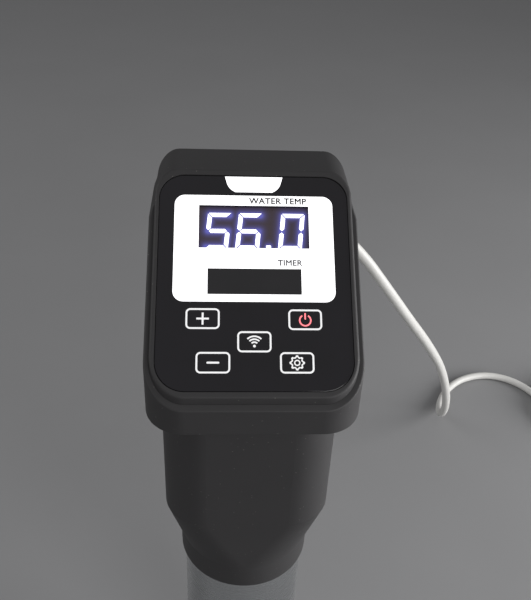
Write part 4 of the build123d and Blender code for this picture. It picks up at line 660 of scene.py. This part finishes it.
@dataclass
class SevenSegments:
    """Lit characters "56.0": slanted bars with mitred ends and a painted glow round them, in millimetres."""

    plane: PanelPlane
    centre: tuple[float, float]
    height: float
    tall: float = 16.3
    wide: float = 9.9
    bar: float = 1.78
    gap: float = 0.34
    slant: float = tan(radians(6.0))
    drop: float = -1.0
    places: tuple[tuple[float, str], ...] = ((-15.0, "acdfg"), (-2.05, "acdefg"), (15.8, "abcdef"))
    point_at: float = 6.1
    glow_reach: float = 0.95
    face_drop: float = 0.05 * MM

    def _bars(self) -> dict[str, tuple[tuple[float, float], tuple[float, float]]]:
        """Centre line of each bar in an upright character, from end to end."""
        across, up = (self.wide - self.bar) / 2, (self.tall - self.bar) / 2
        return {"a": ((-across, up), (across, up)), "b": ((across, up), (across, 0)),
                "c": ((across, 0), (across, -up)), "d": ((-across, -up), (across, -up)),
                "e": ((-across, 0), (-across, -up)), "f": ((-across, up), (-across, 0)),
                "g": ((-across, 0), (across, 0))}

    def _lean(self, points: np.ndarray, middle: float) -> np.ndarray:
        """Slants points by their height, then moves them to a character's place."""
        leaned = points + np.stack([points[:, 1] * self.slant, np.zeros(len(points))], axis=1)
        return leaned + np.array([self.centre[0] + middle, self.centre[1] + self.drop])

    def _end(self, place: np.ndarray, along: np.ndarray, outer: np.ndarray) -> np.ndarray:
        """Points that finish one end of a bar.

        At a corner of the character the bar ends on a mitre, longer on its outer side. Halfway up it
        ends in a point.

        Args:
            place: End of the bar's centre line.
            along: Unit vector out of that end.
            outer: Unit vector to the character's outside.

        Returns:
            Points from the outer side to the inner side.
        """
        half = self.bar / 2
        if abs(place[1]) > half:
            shape = [along + outer, -along - outer]
        else:
            shape = [outer - along, along * 0, -outer - along]
        return np.array(shape) * half + place - along * self.gap

    def _outline(self, letter: str) -> np.ndarray:
        """Outline of one lit bar, mitred or pointed at each end."""
        start, end = (np.array(point, dtype=float) for point in self._bars()[letter])
        along = (end - start) / np.linalg.norm(end - start)
        side = np.array([-along[1], along[0]])
        outer = side if letter == "g" or side @ (start + end) > 0 else -side
        return np.concatenate([self._end(end, along, outer), self._end(start, -along, outer)[::-1]])

    def build(self, window: tuple[float, float]) -> list[tuple[bpy.types.Object, Finish | PaintedGlowFinish]]:
        """Makes the bars, the point and the face behind them with its painted glow.

        Args:
            window: Width and height of the window they are seen through.

        Returns:
            Each piece with its finish.
        """
        loops = [self._lean(self._outline(letter), middle) for middle, lit in self.places for letter in lit]
        foot = self.centre[1] + self.drop - self.tall / 2
        loops.append(rounded_box(2.0, 1.9, (0.3, 0.3), (self.centre[0] + self.point_at, foot + 0.95)))
        bars = self.plane.plate("lit_bars", loops, self.height, 0.04 * MM)
        return [(bars, LIT_EPOXY), (self._face(window), PAINTED_GLOW_FACE)]

    def _face(self, window: tuple[float, float]) -> bpy.types.Object:
        """Dark face with a painted glow that falls off with the distance to the nearest lit bar.

        A regular grid of points covers the window; each point's glow is exp(-distance / reach).
        """
        across = np.linspace(-window[0] / 2 - 1, window[0] / 2 + 1, 190)
        up = np.linspace(-window[1] / 2 - 0.9, window[1] / 2 + 0.9, 84)
        v, u = (part.ravel() for part in np.meshgrid(up, across, indexing="ij"))
        nearest = np.full(u.shape, 1e3)
        for middle, lit in self.places:
            for letter in lit:
                ends = self._lean(np.array(self._bars()[letter]), middle) - np.array(self.centre)
                run = ends[1] - ends[0]
                share = np.clip(((u - ends[0, 0]) * run[0] + (v - ends[0, 1]) * run[1]) / (run @ run), 0, 1)
                apart = np.hypot(u - ends[0, 0] - share * run[0], v - ends[0, 1] - share * run[1])
                nearest = np.minimum(nearest, apart - self.bar / 2)
        nearest = np.minimum(nearest, np.hypot(u - self.point_at, v - self.drop + self.tall / 2 - 0.95) - 1)
        # Painted glow, strongest next to the bars.
        glow = np.exp(-np.clip(nearest, 0, None) / self.glow_reach)
        places = self.plane.points((u + self.centre[0]) * MM, (v + self.centre[1]) * MM,
                                   self.height - self.face_drop)
        face = mesh_piece("display_face", places, grid_faces(len(up), len(across)))
        layer = face.data.attributes.new("glow", "FLOAT", "POINT")
        layer.data.foreach_set("value", glow.astype(np.float32))
        return face


# ---------------------------------------------------------------- clamp screw
@dataclass
class ClampScrew:
    """Threaded spindle of the pot clamp, in metres."""

    pitch: float = 4.0 * MM
    tooth: float = 0.55 * MM
    around: int = 48
    per_turn: int = 10

    def build(self) -> bpy.types.Object:
        """Makes the spindle with its thread.

        The surface is a tube round the +Y axis whose radius at angle a and place y is the crest
        radius less the tooth height times a clipped triangle wave of y / pitch - a / (2 pi).

        Returns:
            The spindle, riding on the clamp screw.
        """
        low, high = (np.array(corner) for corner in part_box("clamp_spindle"))
        crest = (high[0] - low[0]) / 2
        middle = (low + high) / 2
        along = np.linspace(low[1], high[1], int((high[1] - low[1]) / self.pitch * self.per_turn * 2))
        turn = np.linspace(0, 2 * pi, self.around, endpoint=False)
        y, a = (part.ravel() for part in np.meshgrid(along, turn, indexing="ij"))
        phase = (y - low[1]) / self.pitch - a / (2 * pi)
        wave = np.abs(2 * (phase - np.floor(phase)) - 1)
        cut = np.clip(1.6 * wave - 0.3, 0, 1)
        plain = np.clip((y - low[1]) / (2.5 * MM) - 1.4, 0, 1)
        radius = crest - 0.02 * MM - self.tooth * cut * plain
        radius = radius * np.where((y == along[0]) | (y == along[-1]), 0.86, 1.0)
        body = np.stack([middle[0] + radius * np.sin(a), y, middle[2] + radius * np.cos(a)], axis=1)
        tips = np.array([[middle[0], along[0], middle[2]], [middle[0], along[-1], middle[2]]])
        faces = grid_faces(len(along), self.around, wrap_columns=True)
        ring = np.arange(self.around)
        after = (ring + 1) % self.around
        first = len(body)
        last_ring = (len(along) - 1) * self.around
        start_cap = np.stack([after, ring, np.full_like(ring, first)], axis=1)
        end_cap = np.stack([last_ring + ring, last_ring + after, np.full_like(ring, first + 1)], axis=1)
        mesh = bpy.data.meshes.new("threaded_spindle")
        mesh.from_pydata(np.concatenate([body, tips]).tolist(), [],
                         faces.tolist() + start_cap.tolist() + end_cap.tolist())
        mesh.update()
        spindle = bpy.data.objects.new("threaded_spindle", mesh)
        bpy.context.scene.collection.objects.link(spindle)
        dress(spindle, ROLLED_THREAD)
        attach(spindle, "clamp_screw")
        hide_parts("clamp_spindle")
        LOG.info("clamp spindle with a %.1f mm pitch", self.pitch / MM)
        return spindle


# ---------------------------------------------------------------- mains lead
@dataclass
class MainsLead:
    """Lead from the back of the head to its plug: a free run, then a neat coil, in millimetres.

    The run's points are (across, behind the strain relief's tip, up).
    """

    radius: float = 3.5
    length: float = 1.55
    run: tuple[tuple[float, float, float], ...] = (
        (0, 0, 340), (0, 17.7, 340), (6, 35.7, 336), (17, 49.7, 327), (34, 57.7, 314), (54, 58.7, 298),
        (76, 57.7, 278), (97, 59.7, 249), (117, 68.7, 219), (140, 87.7, 183), (162, 110.7, 143),
        (181, 137.7, 97), (195, 163.7, 53), (202, 185.7, 22), (206, 205.7, 6.5), (213, 226.7, 3.5),
        (227, 246.7, 3.5), (248, 261.7, 3.5), (275, 266.7, 3.5), (300, 255.7, 3.5), (317, 232.7, 3.5),
        (320, 203.7, 3.5))
    outer_turn: float = 45.5
    inner_turn: float = 38.5
    layer: float = 7.0
    lift: float = 0.6
    turns: float = 3.25
    points_per_turn: int = 16

    def build(self) -> bpy.types.Object:
        """Returns:
            The lead, riding on the housing.
        """
        coil = self._coil()
        low, high = (np.array(corner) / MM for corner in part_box("plug_body"))
        tail = np.array([low[0], (low[1] + high[1]) / 2, (low[2] + high[2]) / 2])
        last = coil[-1]
        lead_out = np.stack([last + (tail - last) * share for share in (0.4, 0.75, 1.06)])
        tip = np.array([0.0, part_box("strain_relief")[1][1] / MM, 0.0])
        points = np.concatenate([np.array(self.run) + tip, coil, lead_out]) * MM
        curve = bpy.data.curves.new("mains_lead", "CURVE")
        curve.dimensions = "3D"
        curve.bevel_depth = self.radius * MM
        curve.bevel_resolution = 6
        curve.resolution_u = 8
        curve.use_fill_caps = True
        spline = curve.splines.new("NURBS")
        spline.points.add(len(points) - 1)
        spline.points.foreach_set("co", np.column_stack([points, np.ones(len(points))]).ravel())
        spline.order_u = 3
        spline.use_endpoint_u = True
        lead = bpy.data.objects.new("mains_lead", curve)
        bpy.context.scene.collection.objects.link(lead)
        dress(lead, CORD_PVC)
        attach(lead, "housing")
        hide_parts("power_cord", "cord_coil")
        tie = self._tie(coil)
        LOG.info("mains lead through %d points", len(points))
        return lead

    def _centre(self) -> np.ndarray:
        """Middle of the coil on the floor, from the CAD coil's box."""
        low, high = (np.array(corner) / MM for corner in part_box("cord_coil"))
        return (low + high) / 2

    def _coil(self) -> np.ndarray:
        """Control points of the wound part.

        The angle grows evenly from half a turn. The first turn lies outermost on the floor and eases
        inwards; the second eases up a layer; the third eases outwards again, so no turn crosses another.
        """
        start, end = pi, pi + 2 * pi * self.turns
        angle = np.linspace(start, end, int(self.turns * self.points_per_turn) + 1)[1:]
        degrees = np.degrees(angle)

        def ease(first: float, final: float) -> np.ndarray:
            """Smooth step from 0 to 1 between two angles in degrees."""
            share = np.clip((degrees - first) / (final - first), 0, 1)
            return share * share * (3 - 2 * share)

        reach = self.outer_turn - (self.outer_turn - self.inner_turn) * (ease(460, 530) - ease(1045, 1125))
        height = self.radius + self.lift * ease(185, 250) + self.layer * ease(765, 850)
        middle = self._centre()
        widen = 1 / np.cos(pi / self.points_per_turn) ** 0.5
        across = middle[0] + widen * reach * np.cos(angle)
        back = middle[1] + widen * reach * np.sin(angle)
        return np.stack([across, back, height], axis=1)

    def _tie(self, coil: np.ndarray) -> bpy.types.Object:
        """Thin strap round the coil's section.

        A rounded rectangle is drawn in the plane of the coil's axis and radius, and swept a few
        millimetres along the coil, with its outer skin a strap's thickness outside its inner one.
        """
        middle = self._centre()
        where, wide, thick = radians(35.0), 6.0, 0.45
        bottom, top = thick + 0.05, float(coil[:, 2].max()) + self.radius + 0.1
        radial = (self.outer_turn + self.inner_turn) / 2
        span = self.outer_turn - self.inner_turn + 2 * self.radius + 0.6
        rims = []
        for skin in (0.0, thick):
            size = (span + 2 * skin, top - bottom + 2 * skin)
            rims.append(rounded_box(*size, (2.8 + skin, 2.8 + skin), (radial, (top + bottom) / 2)))
        sides = [(rims[1], -wide / 2), (rims[1], wide / 2), (rims[0], wide / 2), (rims[0], -wide / 2)]
        rows = []
        for rim, shift in sides:
            turned = np.stack([rim[:, 0] * cos(where) - shift * sin(where),
                               rim[:, 0] * sin(where) + shift * cos(where), rim[:, 1]], axis=1)
            rows.append(turned + np.array([middle[0], middle[1], 0.0]))
        points = np.stack(rows) * MM
        count = points.shape[1]
        tie = mesh_piece("coil_tie", points.reshape(-1, 3), grid_faces(4, count, True, True))
        tie.data.polygons.foreach_set("use_smooth", np.zeros(len(tie.data.polygons), dtype=bool))
        dress(tie, TIE_NYLON)
        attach(tie, "housing")
        return tie


# ---------------------------------------------------------------- stage
@dataclass
class Studio:
    """Camera, soft lights and pale floor, in metres."""

    camera_place: tuple[float, float, float] = (-0.014554, -0.272315, 0.526775)
    aim: tuple[float, float, float] = (0.0610, 0.8221, -0.5661)
    roll: float = radians(2.84)
    lens_mm: float = 46.2
    world_tone: str = "#aaaaab"
    world_strength: float = 0.62
    floor_half: float = 30.0
    floor_drop: float = 2e-4

    def camera(self) -> None:
        """Makes the camera and sets it as the scene's."""
        data = bpy.data.cameras.new("main_camera")
        data.lens = self.lens_mm
        data.clip_start = 0.01
        item = bpy.data.objects.new("main_camera", data)
        turn = Vector(self.aim).to_track_quat("-Z", "Y").to_matrix().to_4x4()
        lean = Matrix.Rotation(self.roll, 4, "Z")
        item.matrix_world = Matrix.Translation(self.camera_place) @ turn @ lean
        bpy.context.scene.collection.objects.link(item)
        bpy.context.scene.camera = item
        bpy.context.scene.view_settings.view_transform = "Standard"

    def softbox(self, name: str, place: tuple[float, float, float], target: tuple[float, float, float],
                size: float, power: float) -> None:
        """Square soft light at a place, facing a target."""
        data = bpy.data.lights.new(name, "AREA")
        data.size = size
        data.energy = power
        item = bpy.data.objects.new(name, data)
        item.location = place
        item.rotation_euler = (Vector(target) - Vector(place)).to_track_quat("-Z", "Y").to_euler()
        bpy.context.scene.collection.objects.link(item)

    def build(self) -> None:
        """Lays the floor and sets up the lights and the even surrounding light."""
        half = self.floor_half
        low = -self.floor_drop
        points = np.array([[-half, -half, low], [half, -half, low], [half, half, low], [-half, half, low]])
        floor = mesh_piece("floor", points, np.array([[0, 1, 2, 3]]))
        dress(floor, FLOOR_BOARD)
        head = (0.0, 0.0, 0.34)
        self.softbox("window_right", (1.5, -0.05, 0.5), head, 0.8, 21.0)
        self.softbox("window_left", (-1.9, 0.1, 1.6), head, 1.2, 14.0)
        self.softbox("front_fill", (0.8, -1.7, 1.0), head, 1.0, 14.0)
        self.softbox("low_edge_right", (1.0, -0.32, 0.3), head, 0.25, 3.2)
        world = bpy.data.worlds.new("tent")
        bpy.context.scene.world = world
        world.use_nodes = True
        back = world.node_tree.nodes["Background"]
        back.inputs["Color"].default_value = linear(self.world_tone)
        back.inputs["Strength"].default_value = self.world_strength


def panel_from_lens() -> ControlPanel:
    """Works out the panel's plane and length from the CAD lens.

    The lens is a slab of known thickness t and tilt: its box is length * sin(tilt) + t * cos(tilt)
    high, and the middle of its top face lies half of t above the box's middle.

    Returns:
        The panel, ready to build.
    """
    low, high = (np.array(corner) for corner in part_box("display_lens"))
    length = (high[2] - low[2] - LENS_THICKNESS * cos(PANEL_TILT)) / sin(PANEL_TILT)
    out = np.array([0.0, -sin(PANEL_TILT), cos(PANEL_TILT)])
    plane = PanelPlane((low + high) / 2 + out * LENS_THICKNESS / 2)
    return ControlPanel(plane, lens_length=length / MM, lens_width=(high[0] - low[0]) / MM)


def main() -> None:
    """Builds the looks in order: camera, lead, stage, finishes, panel and clamp screw."""
    logging.basicConfig(level=logging.INFO, format="%(name)s: %(message)s")
    studio = Studio()
    studio.camera()
    MainsLead().build()
    studio.build()
    dress_nodes()
    panel_from_lens().build()
    ClampScrew().build()


if __name__ == "__main__":
    main()
